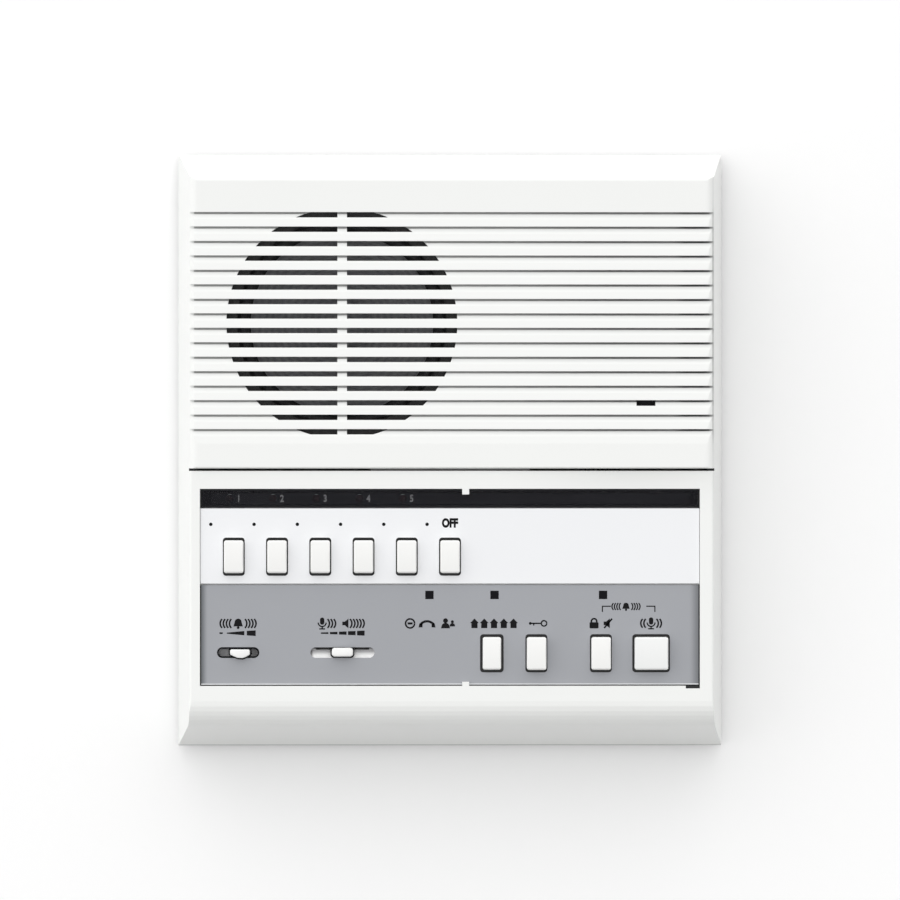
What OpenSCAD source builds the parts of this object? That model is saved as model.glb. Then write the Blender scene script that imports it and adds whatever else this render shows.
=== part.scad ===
// Desk intercom master station, lying on its rubber feet with its face up.
// X runs to the right across the face, Y runs up the face and Z rises out of it.
// The origin lies on the surface that it stands on, under the middle of the case.

/* [Case] */
// Width of the case at its rear rim
case_w = 205; // [192:1:250]
// Height of the case at its rear rim
case_h = 223; // [219:1:270]
// Depth of the case, from the rear rim to the face of the panel half
case_d = 47.5; // [41:0.5:60]
// Draft of the left and right walls, in degrees
side_draft = 6.6; // [3:0.1:9]
// Draft of the top and bottom walls, in degrees
end_draft = 12.5; // [8:0.1:14]
// Thickness of the case walls
wall = 2.5; // [2:0.1:3]
// How far the speaker half stands above the panel half
upper_rise = 1.3; // [0.8:0.1:2]
// Radius of the front edge along the bottom of the case
bottom_edge_r = 10; // [4:0.5:11]
// Radius of the front edge along the top of the case
top_edge_r = 1.5; // [0.8:0.1:3]
// Radius of the front side edges of the speaker half
speaker_edge_r = 3; // [1:0.1:4]
// Radius of the front side edges of the panel half
panel_edge_r = 1; // [0.6:0.1:2]
// Height of the rubber feet below the rear rim
foot_lift = 2.5; // [1.5:0.1:4]
// Thickness of the rear base plate
base_t = 2.5; // [2:0.1:3]

/* [Louvres] */
// Height of the plain band above the louvres
top_band = 13; // [8:0.5:16]
// Pitch of the louvres
louvre_pitch = 5.35; // [4.6:0.05:6.4]
// Number of louvre lines
louvre_count = 16; // [12:1:16]
// Depth of the step under each louvre
louvre_step = 0.85; // [0.5:0.05:1.1]
// Depth of the fine groove at the foot of each step
louvre_groove = 1.5; // [0.7:0.05:1.6]
// Width of that groove
louvre_groove_w = 0.6; // [0.4:0.05:0.7]

/* [Speaker] */
// Diameter of the round field of grille slots
grille_d = 85.4; // [76:0.1:90]
// Height of each grille slot
slot_h = 1.96; // [1.4:0.02:2.4]
// Width of the upright rib that divides the grille
grille_rib = 3.55; // [2:0.05:5]
// Distance of the speaker's axis from the left edge of the face
speaker_from_left = 56.3; // [55:0.1:62]
// Distance of the speaker's axis from the top edge of the face
speaker_from_top = 54.1; // [53:0.1:60]
// Depth of the loudspeaker behind its flange
speaker_depth = 31; // [26:0.5:32]

/* [Panel] */
// Distance of the panel's middle to the left of the case's middle
panel_offset = 0.7; // [0:0.1:1]
// Width of the panel opening
panel_w = 185; // [176:1:187]
// Height of the panel opening
panel_h = 72.9; // [70:0.1:76]
// Distance of the panel opening from the bottom edge of the face
panel_from_bottom = 13.7; // [13:0.1:18]
// Height of the directory window along the top of the opening
window_h = 7.1; // [6:0.1:9]
// Height of the white station panel under the window
station_h = 28.1; // [26:0.1:31]
// Thickness of the station panel
station_t = 2; // [1.6:0.1:2.4]
// Depth of the station panel's surface below the face
panel_recess = 0.7; // [0.3:0.05:1]
// Depth of the grey control plate's surface below the station panel's
control_step = 0.5; // [0.2:0.05:0.8]

/* [Buttons] */
// Pitch of the station buttons
station_pitch = 16; // [14:0.1:18]
// Width of a station button's cap
cap_w = 7.2; // [6:0.1:9]
// Height of a button's cap, along the face
cap_l = 12.1; // [10:0.1:13]
// Width of the talk button's cap
talk_cap_w = 12.4; // [10:0.1:14]
// How far a station button stands above its panel
cap_rise = 3.3; // [2.5:0.1:5]
// Travel of every push button
button_travel = 3; // [2:0.1:3.5]
// Gap at each side of a cap in its opening
cap_gap = 0.45; // [0.3:0.05:0.8]
// Gap at each end of a cap in its opening
cap_end_gap = 1; // [0.6:0.05:1.2]

/* [Slide controls] */
// Length of the signal volume slot
signal_slot_l = 15.65; // [13:0.05:20]
// Height of the signal volume slot
signal_slot_h = 4; // [3.8:0.05:5]
// Length of the voice volume trough
trough_l = 23.7; // [20:0.1:26]
// Height of the voice volume trough
trough_h = 3.9; // [3.8:0.05:5]
// Length of the signal volume knob
signal_knob_l = 7.5; // [6:0.1:9]
// Height of the signal volume knob's body, along the face
signal_knob_h = 2.5; // [2.3:0.1:3]
// Length of the voice volume knob
voice_knob_l = 8; // [6:0.1:9]
// Height of the voice volume knob, along the face
voice_knob_h = 3.3; // [3:0.1:3.6]

/* [Hidden] */

eps = 0.01;          // overlap that keeps joined shapes joined
cut = 1;             // how far a cutting shape runs past what it cuts
fit = 0.15;          // side clearance of a piece in its seat
plate_gap = 0.4;     // clearance of the control plate from the edge of its opening
slide_fit = 0.2;     // side clearance of a sliding piece
arc_steps = 7;       // straight steps in a rounded outline corner

// Heights of the main surfaces
z_rim = foot_lift;
z_face = z_rim + case_d;
z_upper = z_face + upper_rise;
base_inset = 0.6;
z_base = z_rim + base_inset;
z_base_top = z_base + base_t;
z_inner_upper = z_upper - wall;
z_station = z_face - panel_recess;
z_control = z_station - control_step;
z_ledge = z_station - station_t;

// Half sizes of the drafted case at a height
function half_w(z) = case_w / 2 - (z - z_rim) * tan(side_draft);
function half_h(z) = case_h / 2 - (z - z_rim) * tan(end_draft);

face_left = -half_w(z_face);
face_right = half_w(z_face);
face_top = half_h(z_face);
face_bottom = -half_h(z_face);

// Lines across the face, from the top down
panel_bottom = face_bottom + panel_from_bottom;
panel_top = panel_bottom + panel_h;
step_from_panel = 7.55;
shadow_w = 0.9;
shadow_d = 1.5;
y_step = panel_top + step_from_panel;
y_window = panel_top - window_h;
y_station = y_window - station_h;
first_louvre = face_top - top_band;

// Speaker and microphone
speaker_x = face_left + speaker_from_left;
speaker_y = face_top - speaker_from_top;
speaker_r = grille_d / 2 + 1.8;
rib_centre = speaker_x + 0.1;
mic_x = face_right - 25.2;
mic_y = first_louvre - 13 * louvre_pitch - slot_h / 2;
mic_r = 4.8;
mic_slot_w = 6.6;

// Buttons and controls, from the panel's edges
panel_x = -panel_offset;
panel_left = panel_x - panel_w / 2;
panel_right = panel_x + panel_w / 2;
station_x = [for (i = [0:5]) panel_left + 12.5 + i * station_pitch];
station_y = y_station + 10.1;
control_y = panel_bottom + 12;
slide_y = control_y + 0.3;
all_call_x = panel_right - 77;
door_x = panel_right - 60.5;
privacy_x = panel_right - 36.6;
talk_x = panel_right - 18;
signal_x = panel_left + 14.1;
voice_x = panel_left + 52.7;
lens_side = 3.1;
lens_xy = [[panel_right - 100.1, y_station - 4.1], [panel_right - 76, y_station - 4.1],
           [panel_right - 35.8, y_station - 4.1]];
station_lamp_x = [for (i = [0:4]) station_x[i] - 1.5];
station_lamp_y = y_window + window_h / 2;

// The stack behind the panel
board_t = 1.6;
z_board = z_face - 23;
switch_h = 9;
z_switch_top = z_board + switch_h;
flange_t = 1.2;
z_flange = z_ledge - 0.1;
stem_w = 3.4;
stem_hole = stem_w + 2 * slide_fit;
z_stem = z_board + button_travel + 0.6;
spring_r = 2.85;
wire_r = 0.3;
spring_turns = 4;

// The housing's inner posts
boss_r = 4;
boss_bore_r = 1.35;
boss_xy = [for (x = [-1, 1], y = [1, -1]) [x * (face_right - 11), y * (face_top - 6.5)]];
board_post_r = 2.6;
board_screw_r = 1.1;
ledge_in = 2.2;
lug_x = panel_x + 4.5;
lug_w = 2.6;
board_w = panel_w + 6.4;
board_y0 = panel_bottom - 2.5;
board_y1 = panel_top + 2.5;
board_post_xy = [for (x = [-1, 1], y = [board_y1 - 4, (board_y0 + board_y1) / 2, board_y0 + 4])
                 [panel_x + x * (board_w / 2 - 3.2), y]];
clamp_turn = 45;
clamp_reach = speaker_r + 3.4;
clamp_post_r = 3;
clamp_screw_r = 1.15;

// The amplifier board behind the plain right half of the grille half
amp_x0 = speaker_x + speaker_r + 6.5;
amp_x1 = face_right - 5;
amp_y0 = y_step + 2.5;
amp_y1 = face_top - 12;
z_amp = z_base_top + 14.6;
amp_post_xy = [for (x = [amp_x0 + 5, amp_x1 - 5], y = [amp_y0 + 16, amp_y1 - 5]) [x, y]];
terminal_l = 30;
terminal_w = 10;
terminal_h = 9;
terminal_x = amp_x0 + 3 + terminal_l / 2;
terminal_y = amp_y0 + 3 + terminal_w / 2;
terminal_count = 6;

// The base plate's openings
entry_w = 60;
entry_h = 30;
keyhole_y = 41.65;
keyhole_r = 4.25;
keyhole_slot_r = 2.2;
keyhole_run = 8;
foot_r = 6;
foot_xy = [for (x = [-1, 1], y = [-1, 1]) [x * (case_w / 2 - 30), y * (case_h / 2 - 20)]];
foot_seat = 0.8;

// ---------- outlines ----------

// Points of an arc from angle a0 to a1 round c
function arc(c, r, a0, a1, n = arc_steps) =
    [for (i = [0:n]) let (a = a0 + (a1 - a0) * i / n) [c[0] + r * cos(a), c[1] + r * sin(a)]];

// Rounded corner of a drafted outline: the wall leans by draft, the top is level
function front_corner(half, top, draft, r, side) =
    let (turn = 90 - draft, c = [half - r * tan(turn / 2), top - r])
    [for (p = side > 0 ? arc(c, r, draft, 90) : arc([-c[0], c[1]], r, 90, 180 - draft)) p];

// Rounded rectangle, w by h
module rounded(w, h, r) {
    square([w - 2 * r, h], center = true);
    square([w, h - 2 * r], center = true);
    for (x = [-1, 1], y = [-1, 1])
        translate([x * (w / 2 - r), y * (h / 2 - r)]) circle(r, $fn = 24);
}

// Upright block with a rounded rectangular outline
module rounded_block(w, h, r, z0, z1) {
    translate([0, 0, z0]) linear_extrude(z1 - z0) rounded(w, h, r);
}

// Box between two corners
module box(x0, x1, y0, y1, z0, z1) {
    translate([x0, y0, z0]) cube([x1 - x0, y1 - y0, z1 - z0]);
}

// Upright round post or bore
module post(xy, r, z0, z1, n = 32) {
    translate([xy[0], xy[1], z0]) cylinder(r = r, h = z1 - z0, $fn = n);
}

// ---------- the drafted case ----------

// Section across the case, with the front side edges rounded; inset draws the inside of the wall
module across(top, edge_r, inset, bottom) {
    shift = inset / cos(side_draft);
    half_top = half_w(top) - shift;
    half_bottom = half_w(bottom) - shift;
    polygon(concat([[half_bottom, bottom]],
                   front_corner(half_top, top, side_draft, edge_r, 1),
                   front_corner(half_top, top, side_draft, edge_r, -1),
                   [[-half_bottom, bottom]]));
}

// Front outline of the speaker half along Y: each louvre rises to a lip over the next one's groove
function louvre_points(top) =
    [for (k = [0:louvre_count - 1]) let (y = first_louvre - k * louvre_pitch)
        each [[y, top], [y, top - louvre_groove], [y - louvre_groove_w, top - louvre_groove],
              [y - louvre_groove_w - 0.15, top - louvre_step],
              [y - louvre_pitch * 0.5, top - louvre_step * 0.3]]];

module along_upper(top, inset, bottom, louvred) {
    shift = inset / cos(end_draft);
    half_top = half_h(top) - shift;
    half_bottom = half_h(bottom) - shift;
    corner = front_corner(half_top, top, end_draft, top_edge_r, 1);
    last = first_louvre - louvre_count * louvre_pitch;
    polygon(concat([[y_step - inset, bottom], [half_bottom, bottom]], corner,
                   louvred ? louvre_points(top) : [],
                   louvred ? [[last, top]] : [],
                   [[y_step + 0.5 - inset, top], [y_step - inset, top - 0.5]]));
}

module along_lower(top, edge_r, inset, bottom) {
    shift = inset / cos(end_draft);
    half_top = half_h(top) - shift;
    half_bottom = half_h(bottom) - shift;
    corner = front_corner(half_top, top, end_draft, edge_r, -1);
    polygon(concat([[-half_bottom, bottom], [y_step + cut, bottom], [y_step + cut, top]], corner));
}

// One half of the case: where its two outlines meet
module case_half(upper, inset, bottom, louvred) {
    top = (upper ? z_upper : z_face) - inset;
    edge_r = upper ? speaker_edge_r : panel_edge_r;
    inner_r = max(edge_r - inset, 0.5);
    intersection() {
        translate([0, case_h, 0]) rotate([90, 0, 0])
            linear_extrude(2 * case_h) across(top, inset > 0 ? inner_r : edge_r, inset, bottom);
        rotate([90, 0, 90]) translate([0, 0, -case_w]) linear_extrude(2 * case_w)
            if (upper) along_upper(top, inset, bottom, louvred);
            else along_lower(top, max(bottom_edge_r - inset, 0.5), inset, bottom);
    }
}

// Bars of the grille slots inside the round field, without the upright rib
module grille_slots() {
    rows = [for (k = [0:louvre_count - 1]) first_louvre - k * louvre_pitch];
    intersection() {
        post([speaker_x, speaker_y], grille_d / 2, z_inner_upper - cut, z_upper + cut, 96);
        for (y = rows)
            if (abs(y - slot_h / 2 - speaker_y) < grille_d / 2)
                for (side = [-1, 1])
                    translate([rib_centre + side * (grille_rib + case_w) / 2, y - slot_h / 2, z_upper])
                        cube([case_w, slot_h, 4 * wall], center = true);
    }
}

// Frame behind the panel opening that its pieces lie on
module panel_ledge() {
    z0 = z_ledge - 2.3;
    x0 = panel_left + ledge_in;
    x1 = panel_right - ledge_in;
    difference() {
        box(panel_left - 2, panel_right + 2, panel_bottom - 2, panel_top + 2, z0, z_face - wall + eps);
        box(x0, x1, panel_bottom + ledge_in, panel_top - ledge_in, z0 - cut, z_face);
    }
    for (y = [y_window, y_station])
        box(x0 - eps, x1 + eps, y - 1.4, y + 1.4, z0, z_ledge);
}

// The opening in front of that frame, round the lugs that hold the panel's pieces down
module panel_opening() {
    difference() {
        box(panel_left, panel_right, panel_bottom, panel_top, z_ledge, z_upper + cut);
        box(lug_x, lug_x + lug_w, panel_top - 2.1, panel_top + cut, z_station - 0.1, z_face);
        box(lug_x, lug_x + lug_w, panel_bottom - cut, panel_bottom + 1.5,
            z_control + 0.1, z_face);
    }
}

// Posts that the base plate, the boards, the speaker and the microphone are fixed to
module inner_posts() {
    for (p = boss_xy)
        post(p, boss_r, z_base_top, (p[1] > y_step ? z_inner_upper : z_face - wall) + eps);
    for (p = board_post_xy)
        post(p, board_post_r, z_board, z_face - wall + eps);
    for (p = amp_post_xy)
        post(p, board_post_r, z_amp, z_inner_upper + eps);
    for (a = [0:3])
        post(speaker_corner(a), clamp_post_r, z_inner_upper - 2.8, z_inner_upper + eps);
    translate([speaker_x, speaker_y, z_inner_upper - 2])
        rotate_extrude($fn = 64) translate([speaker_r + 0.4, 0]) square([1.4, 2 + eps]);
    translate([mic_x, mic_y, z_inner_upper - 6])
        rotate_extrude($fn = 40) translate([mic_r + 1.1, 0]) square([1.4, 6 + eps]);
}

function speaker_corner(i) =
    [speaker_x + clamp_reach * cos(clamp_turn + 90 * i), speaker_y + clamp_reach * sin(clamp_turn + 90 * i)];

// Pilot holes for the screws in those posts
module pilot_holes() {
    for (p = boss_xy)
        post(p, boss_bore_r, z_base_top - cut, z_base_top + 14, 24);
    for (p = board_post_xy)
        post(p, board_screw_r + 0.05, z_board - cut, z_board + 9, 24);
    for (p = amp_post_xy)
        post(p, board_screw_r + 0.05, z_amp - cut, z_amp + 9, 24);
    for (a = [0:3])
        post(speaker_corner(a), clamp_screw_r + 0.05, z_inner_upper - 4, z_inner_upper - 0.4, 24);
}

module front_housing() {
    color([0.93, 0.93, 0.91]) difference() {
        union() {
            difference() {
                union() {
                    case_half(true, 0, z_rim, true);
                    case_half(false, 0, z_rim, false);
                }
                union() {
                    case_half(true, wall, z_rim - cut, false);
                    case_half(false, wall, z_rim - cut, false);
                }
            }
            panel_ledge();
            inner_posts();
        }
        panel_opening();
        pilot_holes();
        grille_slots();
        // shadow line along the foot of the speaker half
        box(-case_w, case_w, y_step - shadow_w, y_step, z_face - shadow_d, z_face + 0.02);
        // sound slot of the microphone
        box(mic_x - mic_slot_w / 2, mic_x + mic_slot_w / 2, mic_y - 0.9, mic_y + 0.9,
            z_inner_upper - cut, z_upper + cut);
        // notch for prising the panel's pieces out
        box(panel_right - 5.2, panel_right, panel_bottom - 1, panel_bottom + eps, z_face - 1.3, z_face + cut);
    }
}

// ---------- rear ----------

module base_plate() {
    half_x = half_w(z_base_top) - wall / cos(side_draft) - 0.3;
    half_y = half_h(z_base_top) - wall / cos(end_draft) - 0.3;
    color([0.80, 0.80, 0.78]) difference() {
        union() {
            rounded_block(2 * half_x, 2 * half_y, 1, z_base, z_base_top);
            // stiffening rim round the wire entry, and two long ribs
            difference() {
                rounded_block(entry_w + 4, entry_h + 4, 3.5, z_base, z_base_top + 1.6);
                rounded_block(entry_w, entry_h, 2.5, z_base - cut, z_base_top + 3);
            }
            for (x = [-0.62, 0.62])
                box(x * half_x - 0.8, x * half_x + 0.8, -half_y + 24, half_y - 24, z_base, z_base_top + 2.4);
        }
        rounded_block(entry_w, entry_h, 2.5, z_base - cut, z_base_top + 3);
        for (y = [-1, 1]) translate([0, y * keyhole_y, 0]) {
            post([0, 0], keyhole_r, z_base - cut, z_base_top + cut, 40);
            post([0, keyhole_run], keyhole_slot_r, z_base - cut, z_base_top + cut);
            box(-keyhole_slot_r, keyhole_slot_r, 0, keyhole_run, z_base - cut, z_base_top + cut);
        }
        for (i = [-3:3])
            translate([speaker_x + i * 6.4, speaker_y, 0])
                rounded_block(2.6, 34, 1.25, z_base - cut, z_base_top + cut);
        for (p = boss_xy) {
            post(p, 1.7, z_base - cut, z_base_top + cut, 24);
            translate([p[0], p[1], z_base - eps]) cylinder(r1 = 3.3, r2 = 1.7, h = 1.6, $fn = 32);
        }
        for (p = foot_xy)
            post(p, foot_r + 0.1, z_base - cut, z_base + foot_seat);
    }
}

module rubber_feet() {
    top = z_base + foot_seat;
    color([0.12, 0.12, 0.12])
        for (p = foot_xy) translate([p[0], p[1], 0])
            rotate_extrude($fn = 40)
                polygon([[0, 0], [foot_r - 1.2, 0], [foot_r - 0.5, 0.4], [foot_r, 1.5],
                         [foot_r, top], [0, top]]);
}

// Countersunk screw, pointing up, with a cross recess in its head
module countersunk_screw(head_r, shank_r, head_h, length) {
    difference() {
        union() {
            cylinder(r1 = head_r, r2 = shank_r, h = head_h, $fn = 32);
            translate([0, 0, head_h - eps]) cylinder(r = shank_r, h = length - head_h, $fn = 24);
        }
        for (a = [0, 90]) rotate(a)
            translate([-head_r * 0.55, -0.25, -eps]) cube([head_r * 1.1, 0.5, head_h * 0.6]);
    }
}

// Pan head screw, pointing up, its head's underside at z = 0
module pan_screw(head_r, shank_r, head_h, length) {
    difference() {
        union() {
            translate([0, 0, -head_h]) cylinder(r1 = head_r * 0.8, r2 = head_r, h = head_h * 0.45, $fn = 24);
            translate([0, 0, -head_h * 0.55 - eps]) cylinder(r = head_r, h = head_h * 0.55 + eps, $fn = 24);
            cylinder(r = shank_r, h = length, $fn = 24);
        }
        for (a = [0, 90]) rotate(a)
            translate([-head_r * 0.6, -0.2, -head_h - eps]) cube([head_r * 1.2, 0.4, head_h * 0.5]);
    }
}

module case_screws() {
    color([0.6, 0.6, 0.62])
        for (p = boss_xy) translate([p[0], p[1], z_base]) countersunk_screw(3.1, 1.3, 1.5, 13);
}

// ---------- pieces in the panel opening ----------

module directory_card() {
    color([0.10, 0.10, 0.11]) difference() {
        box(panel_left + fit, panel_right - fit, y_window + fit, panel_top - fit, z_ledge, z_ledge + 0.4);
        for (x = station_lamp_x)
            post([x, station_lamp_y], 1.6, z_ledge - cut, z_ledge + cut, 24);
    }
}

module directory_window() {
    color([0.08, 0.08, 0.09, 0.8]) difference() {
        box(panel_left + fit, panel_right - fit, y_window + fit, panel_top - fit,
            z_ledge + 0.4, z_station - 0.25);
        // the strip's underside is hollowed to hold the card flat at its edges
        box(panel_left + 4, panel_right - 4, y_window + 1.4, panel_top - 1.4, z_ledge, z_ledge + 0.6);
    }
}

// Opening for a button's cap
module cap_opening(x, y, w) {
    translate([x, y, 0])
        rounded_block(w + 2 * cap_gap, cap_l + 2 * cap_end_gap, 1.2, z_ledge - 3, z_face + cut);
}

module station_panel() {
    color([0.94, 0.94, 0.95]) difference() {
        box(panel_left + fit, panel_right - fit, y_station + fit, y_window - fit, z_ledge, z_station);
        for (x = station_x)
            cap_opening(x, station_y, cap_w);
    }
}

trough_drop = 1.4;
trough_r = (pow(trough_h / 2, 2) + pow(trough_drop, 2)) / (2 * trough_drop);
blade_t = 0.4;
blade_gap = 0.1;
blade_y = slide_y + trough_h / 2 - 0.6;

module control_plate() {
    trough_z = z_control - trough_drop + trough_r;
    trough_run = trough_l / 2 - trough_h / 2;
    color([0.64, 0.65, 0.67]) difference() {
        union() {
            box(panel_left + plate_gap, panel_right - plate_gap,
                panel_bottom + plate_gap, y_station - plate_gap, z_ledge, z_control);
            // pan under the voice volume trough
            box(voice_x - trough_l / 2 - 1, voice_x + trough_l / 2 + 1,
                slide_y - trough_h / 2 - 1, slide_y + trough_h / 2 + 1,
                z_control - trough_drop - 0.9, z_ledge + eps);
        }
        cap_opening(all_call_x, control_y, cap_w + 0.6);
        cap_opening(door_x, control_y, cap_w);
        cap_opening(privacy_x, control_y, cap_w);
        cap_opening(talk_x, control_y, talk_cap_w + 0.6);
        for (p = lens_xy)
            translate([p[0], p[1], z_ledge - cut]) linear_extrude(z_face - z_ledge)
                square(lens_side, center = true);
        translate([signal_x, slide_y, 0])
            rounded_block(signal_slot_l, signal_slot_h, signal_slot_h / 2 - eps, z_ledge - cut, z_face);
        translate([voice_x, slide_y, trough_z]) {
            for (side = [-1, 1])
                translate([side * trough_run, 0, 0]) sphere(trough_r, $fn = 40);
            rotate([0, 90, 0]) cylinder(r = trough_r, h = 2 * trough_run, center = true, $fn = 40);
        }
        box(voice_x - trough_run, voice_x + trough_run,
            blade_y - blade_t / 2 - blade_gap, blade_y + blade_t / 2 + blade_gap, z_ledge - 4, z_face);
    }
}

module indicator_lenses() {
    color([0.05, 0.05, 0.06])
        for (p = lens_xy) translate([p[0], p[1], 0]) {
            side = lens_side - 0.1;
            translate([0, 0, z_ledge - 1]) linear_extrude(z_control - z_ledge + 0.9)
                square(side, center = true);
            translate([0, 0, z_ledge - 1]) linear_extrude(0.95) square(side + 1.4, center = true);
        }
}

// ---------- buttons ----------

// A cap with softly rounded top edges, its retaining flange and its plunger stem
module push_button(x, y, w, rise, z_panel) {
    top = z_panel + rise;
    color([0.95, 0.95, 0.93]) translate([x, y, 0]) {
        intersection() {
            rounded_block(w, cap_l, 0.9, z_flange - eps, top + cut);
            rotate([90, 0, 0]) translate([0, 0, -cap_l]) linear_extrude(2 * cap_l)
                polygon(concat([[w / 2, z_flange - cut]], arc([w / 2 - 0.7, top - 0.7], 0.7, 0, 90, 5),
                               arc([-w / 2 + 0.7, top - 0.7], 0.7, 90, 180, 5), [[-w / 2, z_flange - cut]]));
            rotate([90, 0, 90]) translate([0, 0, -w]) linear_extrude(2 * w)
                polygon(concat([[cap_l / 2, z_flange - cut]],
                               arc([cap_l / 2 - 0.9, top - 1.1], 0.9, 0, 75, 5),
                               arc([0, top - 60], 60, 90 - 4.4, 90 + 4.4, 8),
                               arc([-cap_l / 2 + 0.9, top - 1.1], 0.9, 105, 180, 5),
                               [[-cap_l / 2, z_flange - cut]]));
        }
        rounded_block(w + 2.6, cap_l + 3.4, 1, z_flange - flange_t, z_flange);
        translate([0, 0, (z_stem + z_flange - flange_t) / 2])
            cube([stem_w, stem_w, z_flange - flange_t - z_stem + 2 * eps], center = true);
    }
}

module station_button(i) {
    push_button(station_x[i], station_y, cap_w, cap_rise, z_station);
}

// The off button's plunger carries the cam that drives the latch bar
cam_slope = 0.35;
cam_clear = 0.1;
z_bar = z_board + 5;
bar_t = 0.8;
cam_foot = z_bar + bar_t + 0.2;

module off_button() {
    station_button(5);
    color([0.95, 0.95, 0.93]) translate([station_x[5], station_y + 1, 0])
        rotate([90, 0, 0]) linear_extrude(2)
            polygon([[stem_w / 2 - eps, cam_foot], [stem_w / 2, cam_foot],
                     [stem_w / 2 + cam_slope * (z_switch_top - cam_foot), z_switch_top],
                     [stem_w / 2 - eps, z_switch_top]]);
}

// Unbroken coil spring along Z, swept along its helix; its ends lie against the two seats
function helix_point(u, r, z0, z1) =
    [r * cos(360 * spring_turns * u), r * sin(360 * spring_turns * u), z0 + (z1 - z0) * u];

module coil_spring(r, wr, z0, z1) {
    steps = spring_turns * 12;
    sides = 5;
    low = z0 + wr + 0.05;
    high = z1 - wr - 0.05;
    climb = atan((high - low) / (2 * PI * r * spring_turns));
    points = [for (i = [0:steps])
        let (u = i / steps, a = 360 * spring_turns * u, c = helix_point(u, r, low, high))
        for (k = [0:sides - 1]) let (b = 360 * k / sides)
            c + wr * cos(b) * [cos(a), sin(a), 0]
              + wr * sin(b) * [-sin(a) * -sin(climb), cos(a) * -sin(climb), cos(climb)]];
    faces = concat(
        [[for (k = [0:sides - 1]) k]],
        [for (i = [0:steps - 1], k = [0:sides - 1])
            let (a = i * sides + k, b = i * sides + (k + 1) % sides)
                each [[a, a + sides, b + sides], [a, b + sides, b]]],
        [[for (k = [sides - 1:-1:0]) steps * sides + k]]);
    color([0.7, 0.7, 0.72]) polyhedron(points, faces, convexity = 6);
}

module button_spring(x, y) {
    translate([x, y, 0]) coil_spring(spring_r, wire_r, z_switch_top, z_flange - flange_t);
}

// ---------- switches and slide controls ----------

frame_l = 6 * station_pitch - 5;
frame_half = 5.7;
frame_t = 0.8;
bar_half = frame_half - frame_t - 0.2;
bar_over = 3;
tooth = 0.9;
bar_play = button_travel * cam_slope + 2 * fit;

frame_x = (station_x[0] + station_x[5]) / 2;

module station_switch_frame() {
    color([0.66, 0.66, 0.64]) translate([frame_x, station_y, 0]) difference() {
        box(-frame_l / 2, frame_l / 2, -frame_half, frame_half, z_board, z_switch_top);
        box(-frame_l / 2 + frame_t, frame_l / 2 - frame_t, -frame_half + frame_t, frame_half - frame_t,
            z_board - cut, z_switch_top - frame_t);
        for (i = [0:5]) translate([station_x[i] - frame_x, 0, 0]) {
            wide = i == 5 ? 1.1 : 0;
            box(-stem_hole / 2, stem_hole / 2 + wide, -stem_hole / 2, stem_hole / 2,
                z_switch_top - 2 * frame_t, z_switch_top + cut);
            // windows over the contacts
            for (side = [-1, 1])
                translate([0, side * frame_half, z_board + 1.5])
                    cube([7, 4 * frame_t, 3], center = true);
        }
        // guide slots for the latch bar in both end walls
        box(-frame_l, frame_l, -bar_half - 0.1, bar_half + 0.1, z_bar - 0.1, z_bar + bar_t + 0.1);
    }
}

module latch_bar() {
    color([0.72, 0.72, 0.70]) translate([frame_x, station_y, 0]) difference() {
        box(-frame_l / 2 - bar_over, frame_l / 2 + bar_over, -bar_half, bar_half, z_bar, z_bar + bar_t);
        for (i = [0:5]) translate([station_x[i] - frame_x, 0, 0])
            box(-stem_w / 2 - bar_play, stem_w / 2 + (i == 5 ? cam_clear : tooth + fit),
                -stem_hole / 2, stem_hole / 2, z_bar - cut, z_bar + cut + bar_t);
    }
}

module plunger_switch(x, w) {
    color([0.14, 0.14, 0.15]) translate([x, control_y, 0]) difference() {
        rounded_block(w, 9.4, 0.5, z_board, z_switch_top);
        translate([0, 0, z_board + switch_h / 2])
            cube([stem_hole, stem_hole, switch_h - 1 + 2 * eps], center = true);
        translate([0, 0, z_switch_top]) cube([stem_hole, stem_hole, 2], center = true);
    }
}

// Slide switch or potentiometer: a folded can with a slot for its lever
pot_h = 7;
pot_w = 7.4;

module slide_body(x, y, length, run_low, run_high, lever_x, lever_w, lever_t) {
    color([0.62, 0.62, 0.60]) translate([x, y, 0]) difference() {
        box(-length / 2, length / 2, -pot_w / 2, pot_w / 2, z_board, z_board + pot_h);
        box(-length / 2 + 1, length / 2 - 1, -pot_w / 2 + 1, pot_w / 2 - 1,
            z_board + 1, z_board + pot_h - 0.8);
        box(lever_x + run_low - lever_w / 2 - 0.3, lever_x + run_high + lever_w / 2 + 0.3,
            -lever_t / 2 - slide_fit, lever_t / 2 + slide_fit, z_board + pot_h - cut, z_board + pot_h + cut);
    }
}

signal_knob_dx = 0.7;
signal_low = -(signal_slot_l - signal_knob_l) / 2 - signal_knob_dx + 0.2;
signal_high = (signal_slot_l - signal_knob_l) / 2 - signal_knob_dx - 0.2;
signal_peg_t = 1.2;
voice_travel = (trough_l - voice_knob_l) / 2 - 0.6;
voice_knob_dy = 0.35;
signal_keel = 0.8;     // how far each knob's lower side swells out
voice_keel = 0.3;
lever_w = 4;
shield_t = 0.7;
z_shield = z_ledge - 3.4;
z_lever = z_board + 2;

module signal_volume_slider() {
    peg_half = signal_peg_t / 2;
    color([0.22, 0.22, 0.23]) translate([signal_x + signal_knob_dx, slide_y, 0]) {
        box(-12, 12, -3, 3, z_shield, z_shield + shield_t);
        box(-lever_w / 2, lever_w / 2, -peg_half, peg_half, z_lever, z_control + 1.5);
    }
}

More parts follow.
